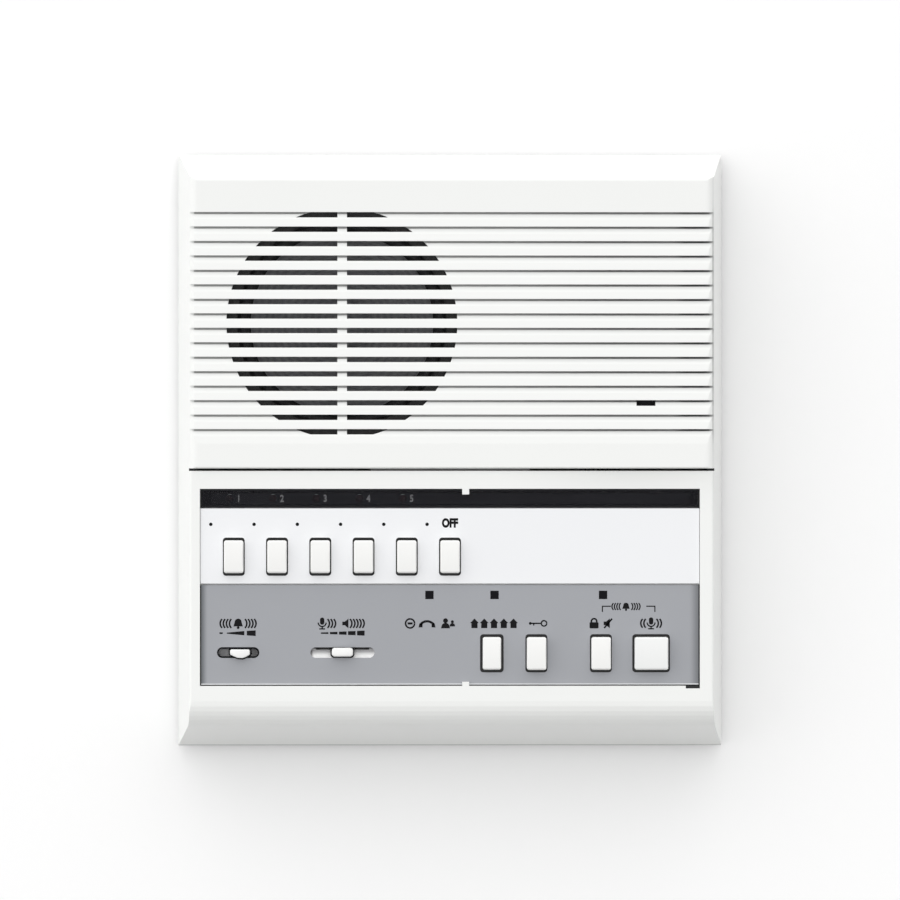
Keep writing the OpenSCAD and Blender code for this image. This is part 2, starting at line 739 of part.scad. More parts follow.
// Knob over its slider's peg; above the plate its lower side swells out to keel, a pair of points
module slide_knob(knob_l, knob_h, corner_r, z0, z1, peg_w, peg_t, peg_dy, peg_top, keel) {
    difference() {
        intersection() {
            union() {
                rounded_block(knob_l, knob_h, corner_r, z0, z1);
                translate([0, -knob_h / 2, z_control + 0.3]) linear_extrude(z1 - z_control)
                    polygon([[-knob_l / 2 + corner_r, corner_r / 2], keel[0], keel[1],
                             [knob_l / 2 - corner_r, corner_r / 2]]);
            }
            rotate([90, 0, 0]) translate([0, 0, -3 * knob_h]) linear_extrude(6 * knob_h)
                polygon(concat([[knob_l / 2, z0 - cut]],
                               arc([knob_l / 2 - 0.9, z1 - 0.9], 0.9, 0, 90, 5),
                               arc([-knob_l / 2 + 0.9, z1 - 0.9], 0.9, 90, 180, 5),
                               [[-knob_l / 2, z0 - cut]]));
        }
        translate([0, peg_dy, (z0 + peg_top) / 2])
            cube([peg_w + 0.1, peg_t + 0.1, peg_top - z0 + 0.2], center = true);
    }
}

module signal_volume_knob() {
    z0 = z_shield + shield_t + 0.05;
    color([0.96, 0.96, 0.96]) translate([signal_x + signal_knob_dx, slide_y, 0])
        slide_knob(signal_knob_l, signal_knob_h, 0.7, z0, z_control + 3, lever_w, signal_peg_t, 0,
                   z_control + 1.5, [[0.1, -signal_keel], [1, -signal_keel]]);
}

module signal_volume_switch() {
    slide_body(signal_x, slide_y, 24, signal_low, signal_high, signal_knob_dx, lever_w, signal_peg_t);
}

module voice_volume_slider() {
    color([0.70, 0.70, 0.70]) translate([voice_x, blade_y, 0])
        box(-lever_w / 2, lever_w / 2, -blade_t / 2, blade_t / 2, z_lever, z_control + 2);
}

module voice_volume_knob() {
    y = slide_y + voice_knob_dy;
    color([0.96, 0.96, 0.96]) translate([voice_x, y, 0])
        slide_knob(voice_knob_l, voice_knob_h - voice_keel, 1.1, z_control + 0.15, z_control + 3.4, lever_w,
                   blade_t, blade_y - y, z_control + 2, [[-3.2, -voice_keel], [3.2, -voice_keel]]);
}

module voice_volume_pot() {
    slide_body(voice_x, blade_y, 36, -voice_travel, voice_travel, 0, lever_w, blade_t);
}

// ---------- boards ----------

module switch_board() {
    color([0.56, 0.44, 0.22]) difference() {
        box(panel_x - board_w / 2, panel_x + board_w / 2, board_y0, board_y1, z_board - board_t, z_board);
        for (p = board_post_xy)
            post(p, board_screw_r + 0.2, z_board - board_t - cut, z_board + cut, 24);
    }
}

// Lamps on tall spacers under their windows
module indicator_lamps() {
    lamps = concat(lens_xy, [for (x = station_lamp_x) [x, station_lamp_y]]);
    color([0.75, 0.16, 0.12])
        for (p = lamps) translate([p[0], p[1], z_board])
            rotate_extrude($fn = 20)
                polygon(concat([[0, 0], [2.4, 0], [2.4, 12.6], [1.9, 12.6], [1.9, 13.6], [1.45, 13.6]],
                               arc([0, 15.6], 1.45, 0, 90, 4)));
}

module board_screws() {
    color([0.72, 0.72, 0.70]) {
        for (p = board_post_xy) translate([p[0], p[1], z_board - board_t]) pan_screw(2.4, 1.1, 1.6, 8);
        for (p = amp_post_xy) translate([p[0], p[1], z_amp - board_t]) pan_screw(2.4, 1.1, 1.6, 8);
    }
}

// ---------- loudspeaker ----------

z_flange_top = z_inner_upper - 1.5;
magnet_r = 22;
magnet_h = 7.5;
plate_h = 2.5;
z_speaker_back = z_flange_top - speaker_depth;
z_magnet = z_speaker_back + plate_h;
z_plate = z_magnet + magnet_h;
z_basket_back = z_plate + plate_h;

module speaker_basket() {
    rim = speaker_r - 0.1;
    color([0.45, 0.45, 0.46]) translate([speaker_x, speaker_y, 0]) difference() {
        rotate_extrude($fn = 72)
            polygon([[12, z_basket_back], [20, z_basket_back], [22, z_basket_back + 1],
                     [rim - 4.6, z_flange_top - 4], [rim - 4.2, z_flange_top - 1.2],
                     [rim, z_flange_top - 1.2],
                     [rim, z_flange_top], [rim - 5.2, z_flange_top], [rim - 5.6, z_flange_top - 3.6],
                     [21.4, z_basket_back + 2], [12, z_basket_back + 1]]);
        // four windows between the legs
        for (a = [0:90:270]) rotate(a + 45)
            translate([30.5, 0, z_basket_back + 7.6]) cube([20, 30, 9.6], center = true);
    }
}

module speaker_cone() {
    rim = speaker_r - 5.2;
    z_top = z_flange_top - 0.2;
    neck = z_basket_back + 4;
    color([0.20, 0.20, 0.21]) translate([speaker_x, speaker_y, 0])
        rotate_extrude($fn = 72)
            polygon(concat(
                [[0, neck + 4], [0, neck + 3.4], [8.6, neck], [8.6, neck - 3.4], [9.4, neck - 3.4],
                 [9.4, neck + 0.4]],
                [[rim - 5.2, z_top - 3], [rim - 4.4, z_top - 0.8]],
                arc([rim - 3, z_top - 0.9], 1.2, 180, 0, 6),
                [[rim - 1.2, z_top - 0.4], [rim - 0.4, z_top - 0.4], [rim - 0.4, z_top], [rim - 1.6, z_top]],
                arc([rim - 3, z_top - 0.9], 1.7, 30, 150, 6),
                [[rim - 5, z_top - 0.4], [rim - 5.8, z_top - 2.6], [10.4, neck + 1]],
                arc([0, neck - 7.6], 13.4, 48, 90, 6)));
}

module speaker_magnet() {
    color([0.24, 0.24, 0.26]) translate([speaker_x, speaker_y, 0])
        rotate_extrude($fn = 64)
            polygon([[0, z_speaker_back], [17, z_speaker_back], [18, z_speaker_back + 1], [18, z_magnet],
                     [magnet_r - 0.6, z_magnet], [magnet_r, z_magnet + 0.6], [magnet_r, z_plate - 0.6],
                     [magnet_r - 0.6, z_plate], [18, z_plate], [18, z_basket_back], [9.8, z_basket_back],
                     [9.8, z_magnet + 1], [8.2, z_magnet + 1], [8.2, z_basket_back], [0, z_basket_back]]);
}

module speaker_gasket() {
    color([0.10, 0.10, 0.10]) translate([speaker_x, speaker_y, z_flange_top])
        rotate_extrude($fn = 72) translate([speaker_r - 5.7, 0]) square([5.6, 1.5]);
}

// Bent clamps that hold the flange to the corner posts
module speaker_clamps() {
    clamp_t = 0.8;
    z0 = z_inner_upper - 2.8 - clamp_t;
    color([0.70, 0.70, 0.68])
        for (i = [0:3]) translate([speaker_x, speaker_y, 0]) rotate(clamp_turn + 90 * i) difference() {
            translate([clamp_reach + 0.2, 0, z0]) linear_extrude(clamp_t)
                translate([-1.4, 0]) rounded(10.4, 7, 1.5);
            post([clamp_reach, 0], clamp_screw_r + 0.2, z0 - cut, z0 + 2 * cut, 24);
        }
}

module speaker_screws() {
    color([0.72, 0.72, 0.70])
        for (i = [0:3]) let (p = speaker_corner(i))
            translate([p[0], p[1], z_inner_upper - 3.6]) pan_screw(2.6, clamp_screw_r, 1.6, 2.9);
}

// ---------- microphone ----------

module microphone_boot() {
    top = z_inner_upper;
    color([0.13, 0.13, 0.13]) translate([mic_x, mic_y, 0]) rotate_extrude($fn = 40)
        polygon([[mic_r - 1.3, top - 8], [mic_r - 0.2, top - 8], [mic_r + 1, top - 6.6], [mic_r + 1, top],
                 [3.5, top], [3.5, top - 0.8], [mic_r, top - 1.2], [mic_r, top - 6.4],
                 [mic_r - 1.3, top - 6.8]]);
}

module microphone_capsule() {
    top = z_inner_upper - 1.3;
    color([0.66, 0.66, 0.66]) translate([mic_x, mic_y, 0]) rotate_extrude($fn = 40)
        polygon([[0, top - 4.8], [mic_r - 0.4, top - 4.8], [mic_r - 0.1, top - 4.4], [mic_r - 0.1, top - 0.3],
                 [mic_r - 0.4, top], [1, top], [1, top - 0.4], [0, top - 0.4]]);
}

// ---------- amplifier ----------

module amplifier_board() {
    color([0.56, 0.44, 0.22]) difference() {
        box(amp_x0, amp_x1, amp_y0, amp_y1, z_amp - board_t, z_amp);
        for (p = amp_post_xy)
            post(p, board_screw_r + 0.2, z_amp - board_t - cut, z_amp + cut, 24);
    }
}

core_w = 28;
core_h = 24;
core_d = 9;
coil_w = 17;
transformer_xy = [amp_x1 - 24, amp_y1 - 26];

// Laminated core: a yoke with two windows, and the coil on its middle leg
module transformer_core() {
    color([0.30, 0.30, 0.32]) translate([transformer_xy[0], transformer_xy[1], z_amp + 3]) difference() {
        translate([-core_w / 2, -core_h / 2, 0]) cube([core_w, core_h, core_d]);
        for (side = [-1, 1])
            translate([side * (coil_w / 2 - 2.1), 0, core_d / 2])
                cube([4.6, 14.4, core_d + cut], center = true);
    }
}

module transformer_coil() {
    color([0.72, 0.42, 0.18]) translate([transformer_xy[0], transformer_xy[1], z_amp]) difference() {
        union() {
            rounded_block(coil_w, 12, 2, 1, core_d + 5);
            for (y = [-6.6, 6.6]) translate([0, y, 0]) rounded_block(coil_w, 0.9, 0.3, 0, core_d + 5.6);
            translate([0, 0, 0]) rounded_block(coil_w, 14, 0.5, 0, 1.4);
        }
        // the hole that the core's middle leg fills, and the sides that its windows clear
        translate([0, 0, core_d / 2 + 3]) cube([2 * (coil_w / 2 - 4.4), 40, core_d + 0.1], center = true);
        for (side = [-1, 1])
            translate([side * (coil_w / 2 + 5.1), 0, core_d / 2 + 3])
                cube([10, 40, core_d + 0.1], center = true);
        for (side = [-1, 1], end = [-1, 1])
            translate([side * coil_w / 2, end * 12.1, core_d / 2 + 3])
                cube([coil_w, 10, core_d + 0.1], center = true);
    }
}

module capacitor(r, h) {
    rotate_extrude($fn = 28)
        polygon([[0, 0], [r, 0], [r, 1.2], [r - 0.35, 1.6], [r, 2], [r, h - 0.5], [r - 0.5, h], [0, h]]);
}

module capacitors() {
    color([0.16, 0.22, 0.42]) translate([amp_x0, amp_y0, z_amp]) {
        for (p = [[9, 30, 5, 16], [9, 46, 5, 16], [24, 28, 4, 12], [34, 28, 4, 12], [22, 44, 3.2, 9]])
            translate([p[0], p[1], 0]) capacitor(p[2], p[3]);
    }
}

// Finned heat sink with the power amplifier on its face
module heat_sink() {
    fins = 7;
    color([0.55, 0.55, 0.57]) translate([amp_x1 - 42, amp_y0 + 6, z_amp]) {
        linear_extrude(18) {
            square([28, 2.4]);
            for (i = [0:fins - 1]) translate([i * (28 - 1.4) / (fins - 1), 0]) square([1.4, 9]);
        }
        translate([9, -4, 2]) cube([10, 4 + eps, 9]);
    }
}

// Screw terminals on the board's underside, over the wire entry
module terminal_block() {
    z0 = z_amp - board_t - terminal_h;
    bay = terminal_l / terminal_count;
    color([0.20, 0.42, 0.24]) translate([terminal_x, terminal_y, 0]) difference() {
        rotate([90, 0, 90]) translate([0, 0, -terminal_l / 2]) linear_extrude(terminal_l)
            polygon([[-terminal_w / 2, z0 + terminal_h], [-terminal_w / 2, z0 + 2.5],
                     [-terminal_w / 2 + 2, z0],
                     [terminal_w / 2, z0], [terminal_w / 2, z0 + terminal_h]]);
        for (i = [0:terminal_count - 1]) translate([-terminal_l / 2 + (i + 0.5) * bay, 0, 0]) {
            post([0, 0.8], 1.75, z0 - cut, z0 + 4.6, 24);
            translate([0, -terminal_w / 2, z0 + 5]) cube([bay - 1.6, 7, 3], center = true);
        }
    }
}

module terminal_screws() {
    z0 = z_amp - board_t - terminal_h;
    bay = terminal_l / terminal_count;
    color([0.72, 0.70, 0.62]) translate([terminal_x, terminal_y + 0.8, 0])
        for (i = [0:terminal_count - 1]) translate([-terminal_l / 2 + (i + 0.5) * bay, 0, z0 + 1.2])
            difference() {
                cylinder(r = 1.65, h = 3.4, $fn = 24);
                translate([-2, -0.25, -cut]) cube([4, 0.5, cut + 0.7]);
            }
}

// Flat ribbon of wires from the switch board down to the amplifier board
module board_ribbon() {
    x0 = amp_x0 + terminal_l + 8;
    z_low = z_amp - board_t;
    y_low = amp_y0 + 2.5;
    y_high = board_y1 - 2.5;
    z_high = z_board - board_t;
    sag = 2.5;
    t = 0.9;
    color([0.55, 0.56, 0.58]) translate([x0, 0, 0]) rotate([90, 0, 90]) linear_extrude(16)
        polygon([[y_high - t / 2, z_high], [y_high - t / 2, z_low - sag],
                 [y_low + t / 2, z_low - sag], [y_low + t / 2, z_low],
                 [y_low - t / 2, z_low], [y_low - t / 2, z_low - sag + t],
                 [y_high + t / 2, z_low - sag + t], [y_high + t / 2, z_high]]);
}

// ---------- assembly ----------

front_housing();
base_plate();
rubber_feet();
case_screws();
directory_window();
directory_card();
station_panel();
control_plate();
indicator_lenses();
station_button(0);  // station_button_1
station_button(1);  // station_button_2
station_button(2);  // station_button_3
station_button(3);  // station_button_4
station_button(4);  // station_button_5
off_button();
push_button(all_call_x, control_y, cap_w - 0.4, 2.2, z_control);  // all_call_button
push_button(door_x, control_y, cap_w, 4.6, z_control);  // door_release_button
push_button(privacy_x, control_y, cap_w, 3.8, z_control);  // privacy_button
push_button(talk_x, control_y, talk_cap_w, 4.2, z_control);  // talk_button
button_spring(station_x[0], station_y);  // station_spring_1
button_spring(station_x[1], station_y);  // station_spring_2
button_spring(station_x[2], station_y);  // station_spring_3
button_spring(station_x[3], station_y);  // station_spring_4
button_spring(station_x[4], station_y);  // station_spring_5
button_spring(station_x[5], station_y);  // off_spring
button_spring(all_call_x, control_y);  // all_call_spring
button_spring(door_x, control_y);  // door_release_spring
button_spring(privacy_x, control_y);  // privacy_spring
button_spring(talk_x, control_y);  // talk_spring
station_switch_frame();
latch_bar();
plunger_switch(all_call_x, 9.4);  // all_call_switch
plunger_switch(door_x, 9.4);  // door_release_switch
plunger_switch(privacy_x, 9.4);  // privacy_switch
plunger_switch(talk_x, 11);  // talk_switch
signal_volume_knob();
signal_volume_slider();
signal_volume_switch();
voice_volume_knob();
voice_volume_slider();
voice_volume_pot();
switch_board();
indicator_lamps();
board_screws();
speaker_basket();
speaker_cone();
speaker_magnet();
speaker_gasket();
speaker_clamps();
speaker_screws();
microphone_boot();
microphone_capsule();
amplifier_board();
transformer_core();
transformer_coil();
capacitors();
heat_sink();
terminal_block();
terminal_screws();
board_ribbon();
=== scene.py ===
"""Looks of the desk intercom master station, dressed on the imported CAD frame.

Each sub-assembly is a class that holds its sizes in millimetres, builds its meshes and
dresses them. Each finish is a frozen dataclass. Places come from the frame's boxes.
"""

import logging
import math
from dataclasses import dataclass, field, replace
from enum import Enum
from typing import Iterable, Optional, Sequence, Union

import bmesh
import bpy
from mathutils import Matrix, Vector


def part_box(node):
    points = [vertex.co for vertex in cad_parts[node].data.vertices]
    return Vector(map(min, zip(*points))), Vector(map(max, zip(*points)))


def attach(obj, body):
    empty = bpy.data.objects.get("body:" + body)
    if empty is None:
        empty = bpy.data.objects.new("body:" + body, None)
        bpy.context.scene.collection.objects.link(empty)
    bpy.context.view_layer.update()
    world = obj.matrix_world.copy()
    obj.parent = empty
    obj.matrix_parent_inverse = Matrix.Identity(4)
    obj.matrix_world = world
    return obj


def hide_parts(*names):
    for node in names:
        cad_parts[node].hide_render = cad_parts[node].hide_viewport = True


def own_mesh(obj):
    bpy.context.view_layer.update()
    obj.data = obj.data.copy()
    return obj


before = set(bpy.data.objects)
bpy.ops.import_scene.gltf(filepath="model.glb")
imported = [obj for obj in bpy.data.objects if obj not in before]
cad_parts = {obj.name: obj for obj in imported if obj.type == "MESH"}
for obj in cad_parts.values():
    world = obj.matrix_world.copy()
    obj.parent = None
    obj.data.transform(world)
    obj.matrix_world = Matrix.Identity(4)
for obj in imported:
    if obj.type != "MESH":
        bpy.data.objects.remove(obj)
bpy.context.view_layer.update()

LOG = logging.getLogger("intercom")
MM = 0.001
CASE = "case"
ORIGIN = (0.0, 0.0, 0.0)
SHARP = 35.0  # degrees past which an edge of a piece stays sharp
ROUND = 60.0  # the same, on round pieces
UNBOUNDED = 900.0  # a zone longer than this, in millimetres, leaves its axis out
LEVEL_FADE = 0.03  # widest fade of a zone along Z, in millimetres
# colour of the painted shade in slots, grooves and gaps
PAINTED_GAP_SHADE = (0.012, 0.012, 0.013)

Point2 = tuple[float, float]
Point3 = tuple[float, float, float]
Colour = tuple[float, float, float]
Value = Union[float, Point3, tuple[float, float, float, float], "Sock"]


def srgb(red: int, green: int, blue: int) -> Colour:
    """Turns a colour written as three numbers up to 255 into Blender's linear one.

    Args:
        red: Red share.
        green: Green share.
        blue: Blue share.

    Returns:
        The linear colour.
    """
    def linear(level: float) -> float:
        """One channel, from 0 to 1, without its display curve."""
        return level / 12.92 if level <= 0.04045 else ((level + 0.055) / 1.055) ** 2.4

    return linear(red / 255), linear(green / 255), linear(blue / 255)


def scaled(colour: Colour, share: float) -> Colour:
    """The colour made lighter or darker by a share, kept below full white."""
    return tuple(min(0.98, c * share) for c in colour)


# ---------------------------------------------------------------- node trees


class Sock:
    """An output socket that works in Python arithmetic; each operator adds one Math node."""

    def __init__(self, bench: "Bench", socket: bpy.types.NodeSocket) -> None:
        """Wraps a socket of the bench's tree."""
        self.bench = bench
        self.socket = socket

    def _math(self, operation: str, *values: Value, clamp: bool = False) -> "Sock":
        """Adds a Math node on the given values and wraps its result."""
        made = self.bench.node("ShaderNodeMath", {"operation": operation, "use_clamp": clamp},
                               dict(enumerate(values)))
        return Sock(self.bench, made.outputs[0])

    def __add__(self, other: Value) -> "Sock":
        """Sum."""
        return self._math("ADD", self, other)

    def __radd__(self, other: Value) -> "Sock":
        """Sum, with a plain number first."""
        return self._math("ADD", other, self)

    def __sub__(self, other: Value) -> "Sock":
        """Difference."""
        return self._math("SUBTRACT", self, other)

    def __rsub__(self, other: Value) -> "Sock":
        """Difference, with a plain number first."""
        return self._math("SUBTRACT", other, self)

    def __mul__(self, other: Value) -> "Sock":
        """Product."""
        return self._math("MULTIPLY", self, other)

    def __rmul__(self, other: Value) -> "Sock":
        """Product, with a plain number first."""
        return self._math("MULTIPLY", other, self)

    def __truediv__(self, other: Value) -> "Sock":
        """Quotient."""
        return self._math("DIVIDE", self, other)

    def __mod__(self, other: Value) -> "Sock":
        """Remainder, always from zero up."""
        return self._math("FLOORED_MODULO", self, other)

    def __pow__(self, other: Value) -> "Sock":
        """Power."""
        return self._math("POWER", self, other)

    def __abs__(self) -> "Sock":
        """Size without its sign."""
        return self._math("ABSOLUTE", self)

    def __lt__(self, other: Value) -> "Sock":
        """One where the value is below the other."""
        return self._math("LESS_THAN", self, other)

    def __gt__(self, other: Value) -> "Sock":
        """One where the value is above the other."""
        return self._math("GREATER_THAN", self, other)

    def clamped(self) -> "Sock":
        """The value kept between zero and one."""
        return self._math("ADD", self, 0.0, clamp=True)

    def sine(self) -> "Sock":
        """Sine of the value in radians."""
        return self._math("SINE", self)

    def ramp(self, low: float, high: float, to_low: float = 0.0, to_high: float = 1.0) -> "Sock":
        """Eases from one value to another between two limits.

        Args:
            low: Where the change begins.
            high: Where it ends.
            to_low: Value up to the beginning.
            to_high: Value past the end.

        Returns:
            The eased value.
        """
        made = self.bench.node("ShaderNodeMapRange", {"interpolation_type": "SMOOTHSTEP"},
                               {"Value": self, "From Min": low, "From Max": high,
                                "To Min": to_low, "To Max": to_high})
        return Sock(self.bench, made.outputs[0])


class Bench:
    """Adds nodes to one tree."""

    def __init__(self, tree: bpy.types.NodeTree) -> None:
        """Works on an empty tree."""
        self.tree = tree

    def find(self, sockets: Iterable[bpy.types.NodeSocket], key: Union[str, int]) -> bpy.types.NodeSocket:
        """A socket by its place in the list, or by its name or identifier among those in use."""
        if isinstance(key, int):
            return sockets[key]
        return next(s for s in sockets if s.enabled and key in (s.name, s.identifier))

    def node(self, kind: str, settings: Optional[dict] = None,
             inputs: Optional[dict] = None) -> bpy.types.Node:
        """Adds one node.

        Args:
            kind: The node's type.
            settings: Its own properties, set first; "stops" holds a ramp's positions and colours.
            inputs: Values or links of its sockets, by name or index.

        Returns:
            The node.
        """
        made = self.tree.nodes.new(kind)
        for key, value in (settings or {}).items():
            if key == "stops":
                self.set_stops(made.color_ramp, value)
            else:
                setattr(made, key, value)
        for key, value in (inputs or {}).items():
            socket = self.find(made.inputs, key)
            if isinstance(value, Sock):
                self.tree.links.new(value.socket, socket)
            elif isinstance(value, tuple) and len(value) == 3 and socket.type == "RGBA":
                socket.default_value = (*value, 1.0)
            else:
                socket.default_value = value
        return made

    def set_stops(self, ramp: bpy.types.ColorRamp, stops: Sequence[tuple[float, Colour]]) -> None:
        """Gives a colour ramp its stops.

        Args:
            ramp: The ramp.
            stops: Positions and colours, from the left.
        """
        while len(ramp.elements) < len(stops):
            ramp.elements.new(1.0)
        for element, (place, colour) in zip(ramp.elements, stops):
            element.position = place
            element.color = (*colour, 1.0)

    def out(self, kind: str, settings: Optional[dict] = None, inputs: Optional[dict] = None,
            output: Union[str, int] = 0) -> Sock:
        """Adds one node and wraps one of its outputs.

        Args:
            kind: The node's type.
            settings: Its own properties.
            inputs: Values or links of its sockets.
            output: The output's name or index.

        Returns:
            The wrapped output.
        """
        made = self.node(kind, settings, inputs)
        return Sock(self, self.find(made.outputs, output))


class ShaderBench(Bench):
    """Adds the shader nodes that the finishes share. Sizes are in millimetres."""

    def __init__(self, tree: bpy.types.NodeTree) -> None:
        """Takes an empty material tree and makes its coordinates."""
        super().__init__(tree)
        self.place = self.out("ShaderNodeTexCoord", output="Object")
        self.axes: dict[str, Sock] = {}

    def scaled_place(self, stretch: Point3) -> Sock:
        """Object coordinates, scaled along each axis."""
        return self.out("ShaderNodeMapping", {"vector_type": "POINT"},
                        {"Vector": self.place, "Scale": stretch})

    def axis(self, name: str) -> Sock:
        """One coordinate, X, Y or Z, in millimetres."""
        if name not in self.axes:
            split = self.out("ShaderNodeSeparateXYZ", inputs={"Vector": self.place}, output=name)
            self.axes[name] = split * 1000.0
        return self.axes[name]

    def within(self, low: Point3, high: Point3, fade: float) -> Sock:
        """One inside a box, falling to zero at its sides.

        Args:
            low: The box's lowest corner, in millimetres.
            high: Its highest corner.
            fade: Half the width over which it falls along X and Y.

        Returns:
            The mask.
        """
        inside: Value = 1.0
        for name, start, end in zip("XYZ", low, high):
            if end - start < UNBOUNDED:
                soft = min(fade, LEVEL_FADE) if name == "Z" else fade
                off = abs(self.axis(name) - (start + end) / 2)
                inside = off.ramp((end - start) / 2 - soft, (end - start) / 2 + soft, 1.0, 0.0) * inside
        return inside

    def noise(self, size: float, detail: float = 3.0, roughness: float = 0.5,
              stretch: Point3 = (1.0, 1.0, 1.0)) -> Sock:
        """Cloudy noise.

        Args:
            size: Width of one cloud, in millimetres.
            detail: How many finer layers are added.
            roughness: How strong the finer layers are.
            stretch: Scale along each axis; a small number draws the clouds out.

        Returns:
            The noise, from 0 to 1.
        """
        return self.out("ShaderNodeTexNoise", {"noise_dimensions": "3D"},
                        {"Vector": self.scaled_place(stretch), "Scale": 1.0 / (size * MM),
                         "Detail": detail, "Roughness": roughness})

    def cells(self, size: float, feature: str = "F1", output: str = "Distance") -> Sock:
        """Voronoi cells.

        Args:
            size: Width of one cell, in millimetres.
            feature: Which distance is taken.
            output: Distance or Color.

        Returns:
            The chosen output.
        """
        return self.out("ShaderNodeTexVoronoi", {"feature": feature},
                        {"Vector": self.scaled_place((1.0, 1.0, 1.0)), "Scale": 1.0 / (size * MM)}, output)

    def mix(self, factor: Value, first: Value, second: Value) -> Sock:
        """Mixes two colours.

        Args:
            factor: Share of the second.
            first: Colour at 0.
            second: Colour at 1.

        Returns:
            The mixed colour.
        """
        return self.out("ShaderNodeMix", {"data_type": "RGBA", "clamp_factor": True},
                        {"Factor_Float": factor, "A_Color": first, "B_Color": second}, "Result_Color")

    def shades(self, factor: Value, colour: Colour, low: float, high: float) -> Sock:
        """A colour between two shares of itself.

        Args:
            factor: Share of the second.
            colour: The colour.
            low: Its share at 0.
            high: Its share at 1.

        Returns:
            The colour's shade.
        """
        return self.mix(factor, scaled(colour, low), scaled(colour, high))

    def gradient(self, factor: Value, stops: Sequence[tuple[float, Colour]],
                 interpolation: str = "LINEAR") -> Sock:
        """Colours along a value.

        Args:
            factor: The value.
            stops: Positions and colours.
            interpolation: LINEAR, CONSTANT or EASE by way of the ramp.

        Returns:
            The colour.
        """
        made = self.node("ShaderNodeValToRGB", {"stops": stops}, {"Fac": factor})
        made.color_ramp.interpolation = interpolation
        return Sock(self, made.outputs[0])

    def soft_edge(self, radius: float) -> Sock:
        """The normal as if sharp edges were rounded.

        Args:
            radius: Rounding, in millimetres.

        Returns:
            The normal.
        """
        return self.out("ShaderNodeBevel", {"samples": 4}, {"Radius": radius * MM})

    def edge_mask(self, rounded: Sock) -> Sock:
        """One where the rounded normal leaves the true one, which is along sharp edges."""
        true = self.out("ShaderNodeNewGeometry", output="True Normal")
        near = self.out("ShaderNodeVectorMath", {"operation": "DOT_PRODUCT"}, {0: rounded, 1: true}, "Value")
        return (1.0 - near).ramp(0.01, 0.3)

    def bump(self, height: Sock, depth: float, normal: Optional[Sock] = None) -> Sock:
        """The normal of a surface with that relief.

        Args:
            height: Relief from 0 to 1.
            depth: Its full height, in millimetres.
            normal: Normal it is laid on, or None for the surface's.

        Returns:
            The normal.
        """
        inputs = {"Height": height, "Distance": depth * MM, "Strength": 1.0}
        if normal is not None:
            inputs["Normal"] = normal
        return self.out("ShaderNodeBump", None, inputs)


# ---------------------------------------------------------------- finishes


@dataclass(frozen=True)
class Finish:
    """A named finish; its surface comes from the class that extends it."""

    name: str
    slot: str

    def sockets(self, bench: ShaderBench) -> dict[str, Value]:
        """Values or links for the shader's sockets, by name."""
        raise NotImplementedError

    def material(self) -> bpy.types.Material:
        """The finish as a material, made once.

        Returns:
            The material.
        """
        known = bpy.data.materials.get("finish_" + self.name)
        if known is not None:
            return known
        made = bpy.data.materials.new("finish_" + self.name)
        made.use_nodes = True
        made.node_tree.nodes.clear()
        bench = ShaderBench(made.node_tree)
        surface = bench.out("ShaderNodeBsdfPrincipled", None, self.sockets(bench))
        bench.node("ShaderNodeOutputMaterial", None, {"Surface": surface})
        return made


ALL = (-500.0, 500.0)


@dataclass(frozen=True)
class Zone:
    """A box in which a surface has another colour: mostly painted shade, such as on the unlit walls of a
    slot, at times a painted highlight or the surface's own colour.
    """

    x: Point2
    y: Point2
    z: Point2
    colour: Colour = (0.02, 0.02, 0.02)
    share: float = 1.0
    fade: float = 0.06

    def over(self, bench: ShaderBench, base: Value) -> Sock:
        """The base colour with this zone laid over it."""
        low, high = zip(self.x, self.y, self.z)
        mask = bench.within(low, high, self.fade)
        return bench.mix(mask * self.share, base, self.colour)


@dataclass(frozen=True)
class Grime:
    """Painted shade under evenly spaced grooves, for the soft shadow below each step, lighter towards the
    light.
    """

    x: Point2
    first: float
    pitch: float
    count: int
    reach: float = 2.6
    share: float = 0.26
    lit_share: float = 0.1
    colour: Colour = (0.35, 0.35, 0.36)

    def over(self, bench: ShaderBench, base: Value) -> Sock:
        """The base colour with the painted shade laid over it."""
        down = (self.first - bench.axis("Y")) % self.pitch
        field_mask = bench.within((self.x[0], self.first - self.count * self.pitch + 0.6, 49.0),
                                  (self.x[1], self.first + 0.1, 60.0), 0.1)
        share = bench.axis("X").ramp(self.x[0] + 20, self.x[1] - 40, self.lit_share, self.share)
        return bench.mix(down.ramp(0.3, self.reach, 1.0, 0.0) * share * field_mask, base, self.colour)


Layer = Union[Zone, Grime]


